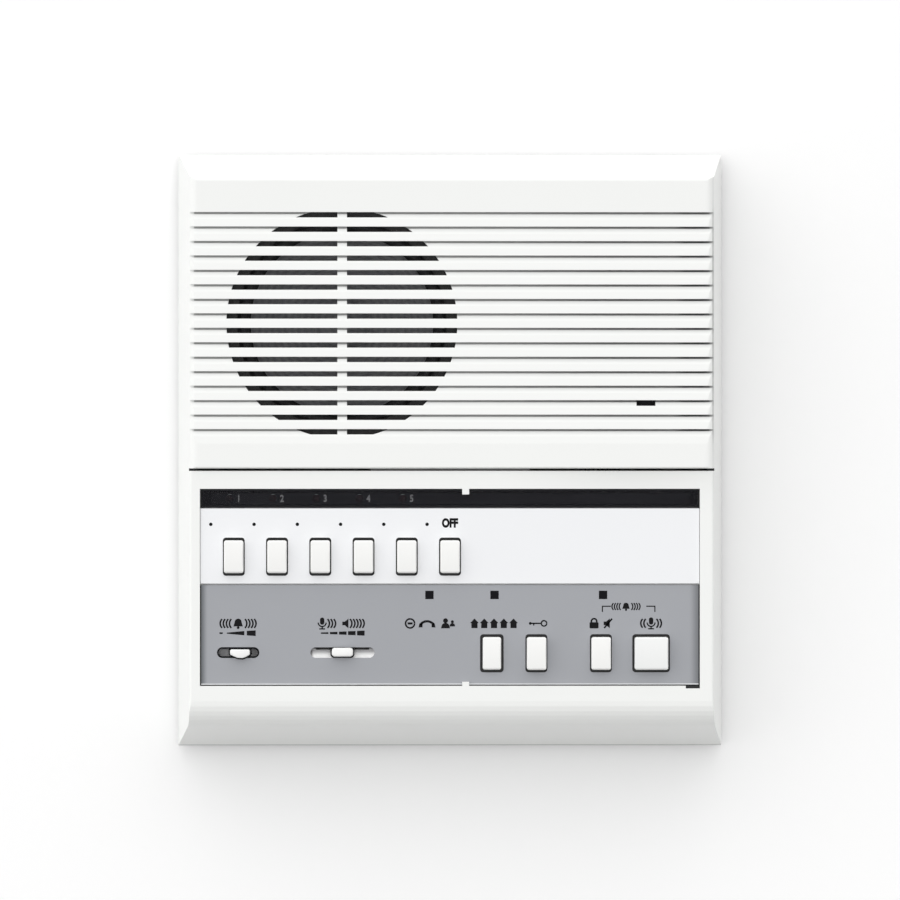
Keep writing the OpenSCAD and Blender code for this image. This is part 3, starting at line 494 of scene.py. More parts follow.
@dataclass(frozen=True)
class Moulded(Finish):
    """Injection moulded plastic: fine grain, faint clouds, soft edges and light handling wear."""

    colour: Colour = (0.9, 0.9, 0.88)
    roughness: float = 0.42
    grain: float = 0.55
    grain_depth: float = 0.004
    cloud: float = 0.015
    edge: float = 0.18
    wear: float = 0.25
    specks: float = 0.0
    # painted shade, painted highlights and patches of the surface's own colour, laid over the base colour
    zones: tuple[Layer, ...] = ()

    def sockets(self, bench: ShaderBench) -> dict[str, Value]:
        """Values or links for the shader's sockets, by name."""
        clouds = bench.noise(45.0, 2.0)
        fine = bench.noise(self.grain, 2.0, 0.6)
        pits = bench.cells(self.grain * 1.7, "SMOOTH_F1")
        rounded = bench.soft_edge(self.edge)
        edge = bench.edge_mask(rounded)
        tone = (clouds - 0.5) * 1.6 + (fine - 0.5) * 0.5 + 0.5
        base = bench.shades(tone.clamped(), self.colour, 1 - self.cloud, 1 + self.cloud)
        if self.specks:
            spots = bench.noise(0.9, 1.0, 0.4).ramp(0.74, 0.8)
            base = bench.mix(spots * self.specks, base, scaled(self.colour, 0.55))
        for zone in self.zones:
            base = zone.over(bench, base)
        rubbed = bench.noise(9.0, 4.0, 0.62, (1.0, 0.35, 1.0)).ramp(0.52, 0.75)
        rough = (self.roughness + (fine - 0.5) * 0.06 + rubbed * (0.08 * self.wear)
                 - edge * (0.12 * self.wear))
        relief = fine * 0.6 + pits * 0.4
        return {"Base Color": base, "Roughness": rough, "Specular IOR Level": 0.45,
                "Normal": bench.bump(relief, self.grain_depth, rounded)}


@dataclass(frozen=True)
class Painted(Finish):
    """Satin paint on a thin plate, with its fine spray texture."""

    colour: Colour = (0.38, 0.39, 0.41)
    roughness: float = 0.4
    flake: float = 0.05
    # painted shade, painted highlights and patches of the surface's own colour, laid over the base colour
    zones: tuple[Layer, ...] = ()

    def sockets(self, bench: ShaderBench) -> dict[str, Value]:
        """Values or links for the shader's sockets, by name."""
        spray = bench.noise(0.4, 2.0, 0.7)
        orange = bench.noise(2.6, 2.0, 0.5)
        drift = bench.noise(38.0, 2.0)
        rounded = bench.soft_edge(0.12)
        tone = ((spray - 0.5) * 0.8 + (drift - 0.5) * 1.2 + 0.5).clamped()
        base = bench.shades(tone, self.colour, 1 - self.flake, 1 + self.flake)
        for zone in self.zones:
            base = zone.over(bench, base)
        streaks = bench.noise(1.4, 4.0, 0.7, (0.06, 1.0, 1.0)).ramp(0.6, 0.8)
        rough = self.roughness + (spray - 0.5) * 0.08 + streaks * 0.05
        return {"Base Color": base, "Roughness": rough, "Specular IOR Level": 0.5,
                "Normal": bench.bump(orange * 0.6 + spray * 0.4, 0.006, rounded)}


@dataclass(frozen=True)
class Smoked(Finish):
    """Dark clear acrylic, polished, with faint wiping marks."""

    colour: Colour = (0.014, 0.014, 0.018)
    see_through: float = 0.62
    border: float = 0.7
    low: Point2 = (-1.0, -1.0)
    high: Point2 = (1.0, 1.0)

    def sockets(self, bench: ShaderBench) -> dict[str, Value]:
        """Values or links for the shader's sockets, by name."""
        smear = bench.noise(7.0, 5.0, 0.65, (0.25, 1.0, 1.0))
        hair = bench.noise(0.5, 2.0, 0.8, (0.03, 1.0, 1.0)).ramp(0.66, 0.74)
        rough = 0.12 + smear * 0.1 + hair * 0.1
        clear = bench.within((*(c + self.border for c in self.low), -500.0),
                             (*(c - self.border for c in self.high), 500.0), 0.1)
        base = bench.mix(smear.ramp(0.35, 0.8), self.colour, scaled(self.colour, 1.5))
        base = bench.mix(clear, scaled(self.colour, 0.4), base)
        return {"Base Color": base, "Roughness": rough, "Alpha": 1.0 - clear * self.see_through,
                "Specular IOR Level": 0.18, "Normal": bench.bump(hair, 0.002, bench.soft_edge(0.15))}


@dataclass(frozen=True)
class Metal(Finish):
    """Bare or plated metal with drawn lines, clouding and duller corners."""

    colour: Colour = (0.6, 0.6, 0.6)
    roughness: float = 0.32
    grain: Point3 = (1.0, 1.0, 1.0)
    tarnish: Colour = (0.36, 0.34, 0.3)
    tarnish_share: float = 0.25

    def sockets(self, bench: ShaderBench) -> dict[str, Value]:
        """Values or links for the shader's sockets, by name."""
        lines = bench.noise(0.25, 3.0, 0.7, self.grain)
        blotch = bench.noise(6.0, 4.0, 0.6)
        crystals = bench.cells(1.6, "F1", output="Color")
        shade = bench.out("ShaderNodeSeparateColor", None, {"Color": crystals}, "Red")
        base = bench.shades(shade * 0.5 + lines * 0.5, self.colour, 0.88, 1.1)
        base = bench.mix(blotch.ramp(0.5, 0.8) * self.tarnish_share, base, self.tarnish)
        rough = self.roughness + (lines - 0.5) * 0.18 + blotch.ramp(0.5, 0.8) * 0.15
        return {"Base Color": base, "Metallic": 1.0, "Roughness": rough,
                "Normal": bench.bump(lines, 0.004, bench.soft_edge(0.1))}


@dataclass(frozen=True)
class Rubber(Finish):
    """Black rubber with bloom and a pitted skin."""

    colour: Colour = (0.022, 0.022, 0.022)
    roughness: float = 0.75
    pore: float = 0.35

    def sockets(self, bench: ShaderBench) -> dict[str, Value]:
        """Values or links for the shader's sockets, by name."""
        bloom = bench.noise(5.0, 4.0, 0.6).ramp(0.45, 0.8)
        skin = bench.cells(self.pore, "F1")
        base = bench.mix(bloom * 0.4, self.colour, scaled(self.colour, 2.6))
        return {"Base Color": base, "Roughness": self.roughness + bloom * 0.12,
                "Normal": bench.bump(skin, 0.02, bench.soft_edge(0.2))}


@dataclass(frozen=True)
class Laminate(Finish):
    """Brown phenolic paper board with faint fibres and clouds."""

    colour: Colour = (0.3, 0.19, 0.065)

    def sockets(self, bench: ShaderBench) -> dict[str, Value]:
        """Values or links for the shader's sockets, by name."""
        fibre = bench.noise(1.2, 4.0, 0.7, (1.0, 0.18, 1.0))
        clouds = bench.noise(14.0, 3.0, 0.6)
        base = bench.shades((fibre * 0.6 + clouds * 0.6 - 0.1).clamped(), self.colour, 0.72, 1.25)
        return {"Base Color": base, "Roughness": 0.42 + fibre * 0.2,
                "Normal": bench.bump(fibre, 0.01, bench.soft_edge(0.1))}


@dataclass(frozen=True)
class Pulp(Finish):
    """Felted loudspeaker paper: black fibres pressed in rings."""

    colour: Colour = (0.23, 0.23, 0.24)
    centre: Point2 = (0.0, 0.0)
    rings: float = 2.4

    def sockets(self, bench: ShaderBench) -> dict[str, Value]:
        """Values or links for the shader's sockets, by name."""
        x = bench.axis("X") - self.centre[0]
        y = bench.axis("Y") - self.centre[1]
        radius = (x * x + y * y) ** 0.5
        ring = (radius * (2 * math.pi / self.rings)).sine() * 0.5 + 0.5
        fibre = bench.noise(0.7, 4.0, 0.75, (1.0, 1.0, 0.4))
        dust = bench.noise(4.0, 4.0, 0.6).ramp(0.5, 0.85)
        base = bench.shades((fibre * 0.7 + ring * 0.15).clamped(), self.colour, 0.55, 2.1)
        base = bench.mix(dust * 0.25, base, scaled(self.colour, 2.2))
        return {"Base Color": base, "Roughness": 0.82 + fibre * 0.12,
                "Normal": bench.bump(fibre * 0.6 + ring * 0.4, 0.08)}


@dataclass(frozen=True)
class Foam(Finish):
    """Closed cell foam."""

    colour: Colour = (0.02, 0.02, 0.02)

    def sockets(self, bench: ShaderBench) -> dict[str, Value]:
        """Values or links for the shader's sockets, by name."""
        cell = bench.cells(0.5, "F1")
        edge = bench.cells(0.5, "DISTANCE_TO_EDGE").ramp(0.0, 0.25)
        base = bench.mix(edge, scaled(self.colour, 2.4), self.colour)
        return {"Base Color": base, "Roughness": 0.9 - cell * 0.1, "Normal": bench.bump(edge, 0.12)}


@dataclass(frozen=True)
class Ferrite(Finish):
    """Sintered magnet: a dull grey ceramic with pits and chipped corners."""

    colour: Colour = (0.05, 0.05, 0.055)

    def sockets(self, bench: ShaderBench) -> dict[str, Value]:
        """Values or links for the shader's sockets, by name."""
        grit = bench.noise(0.5, 4.0, 0.75)
        pit = bench.noise(2.2, 1.0).ramp(0.68, 0.76)
        rounded = bench.soft_edge(0.4)
        chip = bench.edge_mask(rounded) * bench.noise(3.0, 2.0).ramp(0.5, 0.6)
        base = bench.shades((grit + chip).clamped(), self.colour, 0.7, 1.9)
        return {"Base Color": base, "Roughness": 0.62 + grit * 0.2 - pit * 0.1,
                "Normal": bench.bump(grit * 0.4 - pit * 0.6, 0.06, rounded)}


@dataclass(frozen=True)
class Enamelled(Finish):
    """Copper wire under clear enamel."""

    colour: Colour = (0.5, 0.17, 0.055)

    def sockets(self, bench: ShaderBench) -> dict[str, Value]:
        """Values or links for the shader's sockets, by name."""
        drift = bench.noise(2.5, 3.0, 0.6)
        base = bench.shades(drift, self.colour, 0.7, 1.25)
        return {"Base Color": base, "Metallic": 0.85, "Roughness": 0.22 + drift * 0.14,
                "Normal": bench.bump(drift, 0.01)}


@dataclass(frozen=True)
class Sleeve(Finish):
    """Shrink sleeve on a can, with a pale stripe down one side."""

    colour: Colour = (0.03, 0.06, 0.2)
    stripe: Colour = (0.5, 0.55, 0.62)

    def sockets(self, bench: ShaderBench) -> dict[str, Value]:
        """Values or links for the shader's sockets, by name."""
        wrinkle = bench.noise(2.0, 3.0, 0.6, (1.0, 1.0, 0.2))
        stripe = bench.out("ShaderNodeAttribute", {"attribute_name": "turn"}, output="Fac")
        on = (abs(stripe - 0.5) < 0.07) * (bench.noise(0.4, 1.0) > 0.3)
        base = bench.shades(wrinkle, self.colour, 0.8, 1.2)
        return {"Base Color": bench.mix(on, base, self.stripe), "Roughness": 0.22 + wrinkle * 0.12,
                "Normal": bench.bump(wrinkle, 0.03)}


@dataclass(frozen=True)
class Banded(Finish):
    """Painted bands along small components, told apart by the attributes along and code."""

    colour: Colour = (0.5, 0.36, 0.2)

    def sockets(self, bench: ShaderBench) -> dict[str, Value]:
        """Values or links for the shader's sockets, by name."""
        along = bench.out("ShaderNodeAttribute", {"attribute_name": "along"}, output="Fac")
        code = bench.out("ShaderNodeAttribute", {"attribute_name": "code"}, output="Fac")
        hues = [(0.0, srgb(30, 26, 24)), (0.14, srgb(96, 52, 22)), (0.28, srgb(170, 30, 24)),
                (0.42, srgb(222, 110, 26)), (0.56, srgb(226, 196, 40)), (0.7, srgb(40, 110, 52)),
                (0.84, srgb(44, 62, 140))]
        base = bench.shades(bench.noise(0.8, 2.0), self.colour, 0.9, 1.1)
        for place, shift in ((0.3, 0.0), (0.42, 0.37), (0.54, 0.71)):
            hue = bench.gradient((code * 7.31 + shift) % 1.0, hues, "CONSTANT")
            base = bench.mix(abs(along - place) < 0.035, base, hue)
        base = bench.mix(abs(along - 0.7) < 0.035, base, srgb(178, 140, 60))
        return {"Base Color": base, "Roughness": 0.35 + bench.noise(0.6, 2.0) * 0.12}


@dataclass(frozen=True)
class Printed(Finish):
    """Screen printed ink, a little worn at its thin places."""

    colour: Colour = (0.03, 0.03, 0.03)
    roughness: float = 0.5

    def sockets(self, bench: ShaderBench) -> dict[str, Value]:
        """Values or links for the shader's sockets, by name."""
        mesh = bench.noise(0.12, 2.0, 0.6)
        worn = bench.noise(1.1, 3.0, 0.6).ramp(0.6, 0.85)
        base = bench.mix((mesh * 0.5 + worn * 0.6).clamped(), self.colour,
                         tuple(c * 0.9 + 0.006 for c in self.colour))
        return {"Base Color": base, "Roughness": self.roughness + mesh * 0.1, "Specular IOR Level": 0.12}


@dataclass(frozen=True)
class Tinted(Finish):
    """Clear coloured plastic of a lamp or lens, glossy and deep."""

    colour: Colour = (0.5, 0.05, 0.03)
    roughness: float = 0.12
    gloss: float = 0.5

    def sockets(self, bench: ShaderBench) -> dict[str, Value]:
        """Values or links for the shader's sockets, by name."""
        depth = bench.noise(1.5, 2.0)
        base = bench.shades(depth, self.colour, 0.8, 1.3)
        return {"Base Color": base, "Roughness": self.roughness + depth * 0.06,
                "Specular IOR Level": self.gloss, "Normal": bench.bump(depth, 0.004, bench.soft_edge(0.15))}


class Finishes:
    """All the finishes of this object."""

    ivory = Moulded("case_ivory", "case_plastic", srgb(246, 247, 245), 0.4, edge=0.22, cloud=0.006)
    panel_white = Moulded("panel_white", "case_plastic", srgb(244, 245, 247), 0.34, grain_depth=0.002,
                          edge=0.15, cloud=0.006)
    cap_white = Moulded("cap_white", "button_plastic", srgb(248, 248, 246), 0.3, grain=0.4,
                        grain_depth=0.0015, edge=0.12, cloud=0.006, wear=0.6)
    talk_white = replace(cap_white, name="talk_cap_white", colour=srgb(244, 245, 244))
    knob_white = Moulded("knob_white", "knob_plastic", srgb(248, 248, 247), 0.25, grain=0.4,
                         grain_depth=0.001, edge=0.12, cloud=0.006, wear=0.8)
    base_grey = Moulded("base_grey", "base_plastic", srgb(206, 206, 201), 0.5, grain=0.9, grain_depth=0.012,
                        cloud=0.02, specks=0.15)
    black_plastic = Moulded("black_moulding", "black_plastic", (0.03, 0.03, 0.033), 0.42, grain=0.5,
                            grain_depth=0.006, cloud=0.25)
    terminal_green = Moulded("terminal_green", "terminal_plastic", (0.035, 0.16, 0.065), 0.36, grain=0.5,
                             cloud=0.12)
    ribbon_grey = Moulded("ribbon_pvc", "ribbon", (0.34, 0.35, 0.37), 0.4, grain=0.7, cloud=0.08)
    grey_plate = Painted("plate_grey", "grey_panel", srgb(163, 165, 170), 0.42, 0.015)
    # near black of the sheets under the knobs and the ring in the signal slot: painted shade
    seal_black = Printed("seal_black", "black_plastic", (0.005, 0.005, 0.006), 0.7)
    smoked = Smoked("smoked_acrylic", "smoked_window")
    card = Printed("card_black", "card", (0.01, 0.01, 0.012), 0.7)
    lens_black = Tinted("lens_black", "black_lens", (0.004, 0.004, 0.006), 0.2, 0.1)
    lamp_red = Tinted("lamp_red", "lamp_red", (0.14, 0.028, 0.02), 0.1)
    spring_wire = Metal("spring_wire", "spring_steel", (0.62, 0.62, 0.63), 0.24, tarnish_share=0.1)
    zinc = Metal("zinc_plate", "plated_steel", (0.62, 0.62, 0.6), 0.34, (1.0, 0.2, 1.0))
    screw_zinc = Metal("screw_zinc", "screw_steel", (0.64, 0.63, 0.6), 0.3, tarnish_share=0.15)
    basket_steel = Metal("basket_steel", "basket_steel", (0.36, 0.36, 0.37), 0.4, (0.3, 1.0, 1.0))
    core_steel = Metal("core_steel", "core_steel", (0.16, 0.155, 0.15), 0.42, (1.0, 1.0, 0.2),
                       (0.14, 0.08, 0.05), 0.5)
    bare_aluminium = Metal("bare_aluminium", "heat_sink_aluminium", (0.56, 0.56, 0.58), 0.36,
                           (1.0, 1.0, 0.08), (0.42, 0.42, 0.42), 0.2)
    solder = Metal("solder", "plated_steel", (0.55, 0.55, 0.54), 0.25, tarnish_share=0.1)
    foot_rubber = Rubber("foot_rubber", "foot_rubber")
    boot_rubber = Rubber("boot_rubber", "boot_rubber", (0.025, 0.025, 0.026), 0.7, 0.25)
    laminate = Laminate("board_laminate", "circuit_board")
    gasket = Foam("gasket_foam", "gasket_foam")
    ferrite = Ferrite("magnet_ferrite", "magnet")
    copper = Enamelled("winding_copper", "copper")
    sleeve = Sleeve("capacitor_sleeve", "capacitor_sleeve")
    resistor = Banded("resistor_bands", "circuit_board")
    ink_black = Printed("ink_black", "black_plastic", (0.006, 0.006, 0.007), 0.6)
    ink_white = Printed("ink_white", "card", (0.75, 0.75, 0.72))
    ink_grey = Printed("ink_grey", "card", (0.9, 0.9, 0.92))
    tape = Printed("winding_tape", "copper", (0.62, 0.5, 0.16), 0.35)
    treated_cloth = Foam("surround_cloth", "cone_paper", (0.018, 0.018, 0.019))
    spider_cloth = Foam("spider_cloth", "cone_paper", (0.36, 0.24, 0.09))
    felt = Foam("black_felt", "gasket_foam", (0.012, 0.012, 0.013))
    wire_black = Rubber("wire_black", "ribbon", (0.02, 0.02, 0.02), 0.45, 0.6)
    wire_red = Rubber("wire_red", "ribbon", (0.3, 0.015, 0.01), 0.45, 0.6)
    tinned = Metal("tinned_wire", "plated_steel", (0.66, 0.66, 0.64), 0.3, tarnish_share=0.12)
    track = Metal("board_track", "copper", (0.55, 0.3, 0.14), 0.34, tarnish=(0.2, 0.16, 0.06),
                  tarnish_share=0.6)
    epoxy = Moulded("component_epoxy", "black_plastic", (0.022, 0.022, 0.024), 0.5, grain=0.35,
                    grain_depth=0.01, cloud=0.2)
    ceramic = Moulded("ceramic_disc", "circuit_board", (0.5, 0.2, 0.06), 0.38, grain=0.5,
                      grain_depth=0.01, cloud=0.12)
    film = Moulded("film_capacitor", "terminal_plastic", (0.62, 0.42, 0.05), 0.34, grain=0.5, cloud=0.06)
    bobbin = Moulded("bobbin_nylon", "button_plastic", (0.66, 0.62, 0.5), 0.4, grain=0.6, cloud=0.05)
    spacer_white = Moulded("spacer_nylon", "button_plastic", (0.7, 0.69, 0.64), 0.4, grain=0.6, cloud=0.03)


# ---------------------------------------------------------------- meshes and pieces


def node_middle(node: str) -> Vector:
    """The middle of a CAD node's box, in metres."""
    low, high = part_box(node)
    return (low + high) / 2


def box_mm(node: str) -> tuple[Vector, Vector]:
    """The lowest and highest corners of a CAD node's box, in millimetres."""
    low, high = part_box(node)
    return low / MM, high / MM


def middle_mm(node: str) -> Vector:
    """The middle of a CAD node's box, in millimetres."""
    return node_middle(node) / MM


def dress(node: str, finish: Finish) -> None:
    """Gives a CAD node that stays its finish.

    Args:
        node: The node's name.
        finish: Its finish.
    """
    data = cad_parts[node].data
    data.materials.clear()
    data.materials.append(finish.material())
    LOG.info("%s dressed in %s", node, finish.name)


def mesh_of(name: str, points: Sequence[Point3], faces: Sequence[Sequence[int]]) -> bpy.types.Mesh:
    """A closed mesh with its normals outwards.

    Args:
        name: Name of the mesh.
        points: Corners, in metres.
        faces: Corner numbers of each face.

    Returns:
        The mesh.
    """
    made = bpy.data.meshes.new(name)
    made.from_pydata([tuple(p) for p in points], [], faces)
    made.validate()
    clean(made)
    return made


def clean(mesh: bpy.types.Mesh, gap: float = 1e-7) -> None:
    """Merges a mesh's doubled corners and turns its faces outwards.

    Args:
        mesh: The mesh.
        gap: Distance within which corners are one, in metres.
    """
    work = bmesh.new()
    work.from_mesh(mesh)
    bmesh.ops.remove_doubles(work, verts=work.verts, dist=gap)
    bmesh.ops.dissolve_degenerate(work, edges=work.edges, dist=gap)
    bmesh.ops.recalc_face_normals(work, faces=work.faces)
    work.to_mesh(mesh)
    work.free()


def joined(name: str, parts: Sequence[bpy.types.Mesh]) -> bpy.types.Mesh:
    """One mesh from several, which are removed.

    Args:
        name: Name of the mesh.
        parts: The meshes.

    Returns:
        The joined mesh.
    """
    work = bmesh.new()
    for part in parts:
        work.from_mesh(part)
    made = bpy.data.meshes.new(name)
    work.to_mesh(made)
    work.free()
    for part in parts:
        bpy.data.meshes.remove(part)
    return made


def revolved(name: str, profile: Sequence[Point2], centre: Point3, sides: int = 48,
             closed: bool = True) -> bpy.types.Mesh:
    """A turned shape about an upright axis.

    Args:
        name: Name of the mesh.
        profile: Radius and height pairs, in millimetres, as a closed loop or from pole to pole.
        centre: Foot of the axis, in metres.
        sides: Steps round the axis.
        closed: Whether the last pair joins the first.

    Returns:
        The mesh.
    """
    points = []
    for step in range(sides):
        turn = 2 * math.pi * step / sides
        points += [(centre[0] + r * MM * math.cos(turn), centre[1] + r * MM * math.sin(turn),
                    centre[2] + z * MM) for r, z in profile]
    count = len(profile)
    faces = []
    for step in range(sides):
        here, there = step * count, (step + 1) % sides * count
        for k in range(count if closed else count - 1):
            after = (k + 1) % count
            faces.append((here + k, there + k, there + after, here + after))
    return mesh_of(name, points, faces)


def slab(name: str, outline: Sequence[Point2], low: float, high: float,
         middle: Point2 = (0.0, 0.0), taper: float = 1.0) -> bpy.types.Mesh:
    """An upright block with any outline.

    Args:
        name: Name of the mesh.
        outline: Points in order, in millimetres.
        low: Height of its underside, in millimetres.
        high: Height of its top, in millimetres.
        middle: Added to every point, in millimetres.
        taper: Size of its top for its underside's.

    Returns:
        The mesh.
    """
    count = len(outline)
    points = [((x * k + middle[0]) * MM, (y * k + middle[1]) * MM, z * MM)
              for z, k in ((low, 1.0), (high, taper)) for x, y in outline]
    faces = [tuple(range(count)), tuple(range(2 * count - 1, count - 1, -1))]
    faces += [(k, (k + 1) % count, count + (k + 1) % count, count + k) for k in range(count)]
    return mesh_of(name, points, faces)


def rounded_outline(width: float, height: float, radius: float, steps: int = 4) -> list[Point2]:
    """A rectangle with round corners, about the origin.

    Args:
        width: Size along X.
        height: Size along Y.
        radius: Corner radius.
        steps: Steps in each corner.

    Returns:
        The outline.
    """
    points = []
    for corner, (sx, sy) in enumerate(((1, 1), (-1, 1), (-1, -1), (1, -1))):
        for step in range(steps + 1):
            turn = math.radians(90 * corner + 90 * step / steps)
            points.append((sx * (width / 2 - radius) + radius * math.cos(turn),
                           sy * (height / 2 - radius) + radius * math.sin(turn)))
    return points


def arc_points(centre: Point2, radius: float, start: float, end: float, steps: int = 12) -> list[Point2]:
    """Points along an arc; angles in degrees."""
    return [(centre[0] + radius * math.cos(math.radians(start + (end - start) * k / steps)),
             centre[1] + radius * math.sin(math.radians(start + (end - start) * k / steps)))
            for k in range(steps + 1)]


def stroke(points: Sequence[Point2], width: float) -> list[Point2]:
    """The outline of a pen stroke of even width.

    Args:
        points: The pen's path.
        width: Width of the stroke.

    Returns:
        The outline.
    """
    path = [Vector(p) for p in points]
    left, right = [], []
    for k, here in enumerate(path):
        before = (here - path[k - 1]).normalized() if k else (path[1] - here).normalized()
        after = (path[k + 1] - here).normalized() if k + 1 < len(path) else before
        along = (before + after).normalized()
        reach = width / 2 / max(0.4, along.dot(after))
        side = Vector((-along.y, along.x)) * reach
        left.append(tuple(here + side))
        right.append(tuple(here - side))
    return left + right[::-1]


def solids_of(node: str) -> list[tuple[Vector, Vector]]:
    """The boxes of a CAD node's separate solids.

    Args:
        node: The node's name.

    Returns:
        Lowest and highest corners in millimetres, from the left.
    """
    work = bmesh.new()
    work.from_mesh(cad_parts[node].data)
    bmesh.ops.remove_doubles(work, verts=work.verts, dist=1e-6)
    left = set(work.verts)
    boxes = []
    while left:
        solid = [left.pop()]
        for vert in solid:
            near = {edge.other_vert(vert) for edge in vert.link_edges} & left
            left -= near
            solid.extend(near)
        boxes.append(tuple(Vector([pick(v.co[i] for v in solid) / MM for i in range(3)])
                           for pick in (min, max)))
    work.free()
    return sorted(boxes, key=lambda box: (round(box[0].x), round(box[0].y), round(box[0].z)))


def feet_of(node: str, lift: float = 0.0) -> list[Point3]:
    """The middle of each solid's underside in a CAD node, raised by lift millimetres, in metres."""
    return [((low.x + high.x) / 2 * MM, (low.y + high.y) / 2 * MM, (low.z + lift) * MM)
            for low, high in solids_of(node)]


def plus_outline(reach: float, width: float) -> list[Point2]:
    """A cross about the origin; reach is its half length, width its bar's half width."""
    r, w = reach, width
    return [(r, -w), (r, w), (w, w), (w, r), (-w, r), (-w, w),
            (-r, w), (-r, -w), (-w, -w), (-w, -r), (w, -r), (w, -w)]


def modified(mesh: bpy.types.Mesh, kind: str, settings: dict) -> bpy.types.Mesh:
    """A mesh with one modifier applied; the old mesh is removed.

    Args:
        mesh: The mesh.
        kind: The modifier's type.
        settings: Its properties.

    Returns:
        The new mesh.
    """
    holder = bpy.data.objects.new("holder", mesh)
    bpy.context.scene.collection.objects.link(holder)
    modifier = holder.modifiers.new("shape", kind)
    for key, value in settings.items():
        setattr(modifier, key, value)
    depsgraph = bpy.context.evaluated_depsgraph_get()
    made = bpy.data.meshes.new_from_object(holder.evaluated_get(depsgraph), depsgraph=depsgraph)
    bpy.data.objects.remove(holder)
    made.name = mesh.name
    bpy.data.meshes.remove(mesh)
    return made


def carved(mesh: bpy.types.Mesh, tool: bpy.types.Mesh) -> bpy.types.Mesh:
    """A mesh with another one's shape taken out; both are removed.

    Args:
        mesh: The mesh.
        tool: What is taken out.

    Returns:
        The new mesh.
    """
    cutter = bpy.data.objects.new("cutter", tool)
    bpy.context.scene.collection.objects.link(cutter)
    made = modified(mesh, "BOOLEAN", {"operation": "DIFFERENCE", "object": cutter, "solver": "EXACT"})
    bpy.data.objects.remove(cutter)
    bpy.data.meshes.remove(tool)
    return made


def softened(mesh: bpy.types.Mesh, radius: float, steps: int = 2, angle: float = 40.0) -> bpy.types.Mesh:
    """A mesh with its sharp edges rounded.

    Args:
        mesh: The mesh.
        radius: Rounding, in millimetres.
        steps: Faces across the rounding.
        angle: Angle in degrees from which an edge is rounded.

    Returns:
        The new mesh.
    """
    return modified(mesh, "BEVEL", {"width": radius * MM, "segments": steps, "limit_method": "ANGLE",
                                    "angle_limit": math.radians(angle), "harden_normals": False})


@dataclass(frozen=True)
class Screw:
    """A screw that points up, with a cross or slot in its head and a rolled thread."""

    head: tuple[Point2, ...]
    shank: float
    length: float
    pitch: float = 0.9
    depth: float = 0.16
    reach: float = 1.5
    slot: float = 0.27
    deep: float = 0.9
    crossed: bool = True

    def mesh(self, name: str) -> bpy.types.Mesh:
        """The screw about the origin, the foot of its head at height zero."""
        sides, start = 20, self.head[-1][1]
        steps = max(8, int((self.length - start) / self.pitch * 5))
        rings = [(r, z, 0.0) for r, z in self.head]
        rings += [(self.shank, start + (self.length - start) * k / steps,
                   0.0 if k in (0, steps) else self.depth) for k in range(steps + 1)]
        rings.append((0.0, self.length + 0.25, 0.0))
        points = []
        for radius, z, thread in rings:
            for side in range(sides):
                phase = (z / self.pitch - side / sides) % 1.0
                r = max(0.0, radius - thread * abs(2 * phase - 1)) * MM
                turn = 2 * math.pi * side / sides
                points.append((r * math.cos(turn), r * math.sin(turn), z * MM))
        faces = [(k * sides + j, k * sides + (j + 1) % sides,
                  (k + 1) * sides + (j + 1) % sides, (k + 1) * sides + j)
                 for k in range(len(rings) - 1) for j in range(sides)]
        low = self.head[0][1]
        if self.crossed:
            outline = plus_outline(self.reach, self.slot)
        else:
            outline = rounded_outline(self.reach * 2, self.slot * 2, 0.02, 1)
        tool = slab("recess", outline, low - 0.3, low + self.deep, taper=0.62 if self.crossed else 1.0)
        return carved(mesh_of(name, points, faces), tool)


def pan_head(radius: float, height: float, shank: float) -> tuple[Point2, ...]:
    """Profile of a pan head that hangs below height zero."""
    return ((0.0, -height), (radius * 0.55, -height), (radius * 0.84, -height * 0.88),
            (radius * 0.97, -height * 0.6), (radius, -height * 0.3), (radius, -0.02),
            (radius - 0.06, 0.0), (shank, 0.0), (shank, 0.3))


def set_turns(mesh: bpy.types.Mesh) -> bpy.types.Mesh:
    """Writes each corner's turn about the mesh's own Z axis, from 0 to 1, as the attribute turn."""
    turn = mesh.attributes.new("turn", "FLOAT", "POINT")
    turn.data.foreach_set("value", [math.atan2(v.co.y, v.co.x) / (2 * math.pi) + 0.5 for v in mesh.vertices])
    return mesh


def settle(name: str, mesh: bpy.types.Mesh, finish: Union[Finish, Sequence[Finish]], body: str,
           replaces: Sequence[str] = (), sharp: float = SHARP) -> bpy.types.Object:
    """Makes a finished piece of a mesh, dresses it and rides it on its body.

    Args:
        name: Name of the piece.
        mesh: Its mesh, in place.
        finish: Its finish, or several by face index.
        body: The body it moves with.
        replaces: CAD nodes that it stands for.
        sharp: Angle in degrees past which an edge stays sharp.

    Returns:
        The piece.
    """
    finishes = [finish] if isinstance(finish, Finish) else list(finish)
    mesh.materials.clear()
    for one in finishes:
        mesh.materials.append(one.material())
    mesh.shade_smooth()
    mesh.set_sharp_from_angle(angle=math.radians(sharp))
    piece = bpy.data.objects.new(name, mesh)
    bpy.context.scene.collection.objects.link(piece)
    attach(piece, body)
    if replaces:
        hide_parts(*replaces)
    LOG.info("%s made with %d faces on %s", name, len(mesh.polygons), body)
    return piece


# ---------------------------------------------------------------- geometry nodes


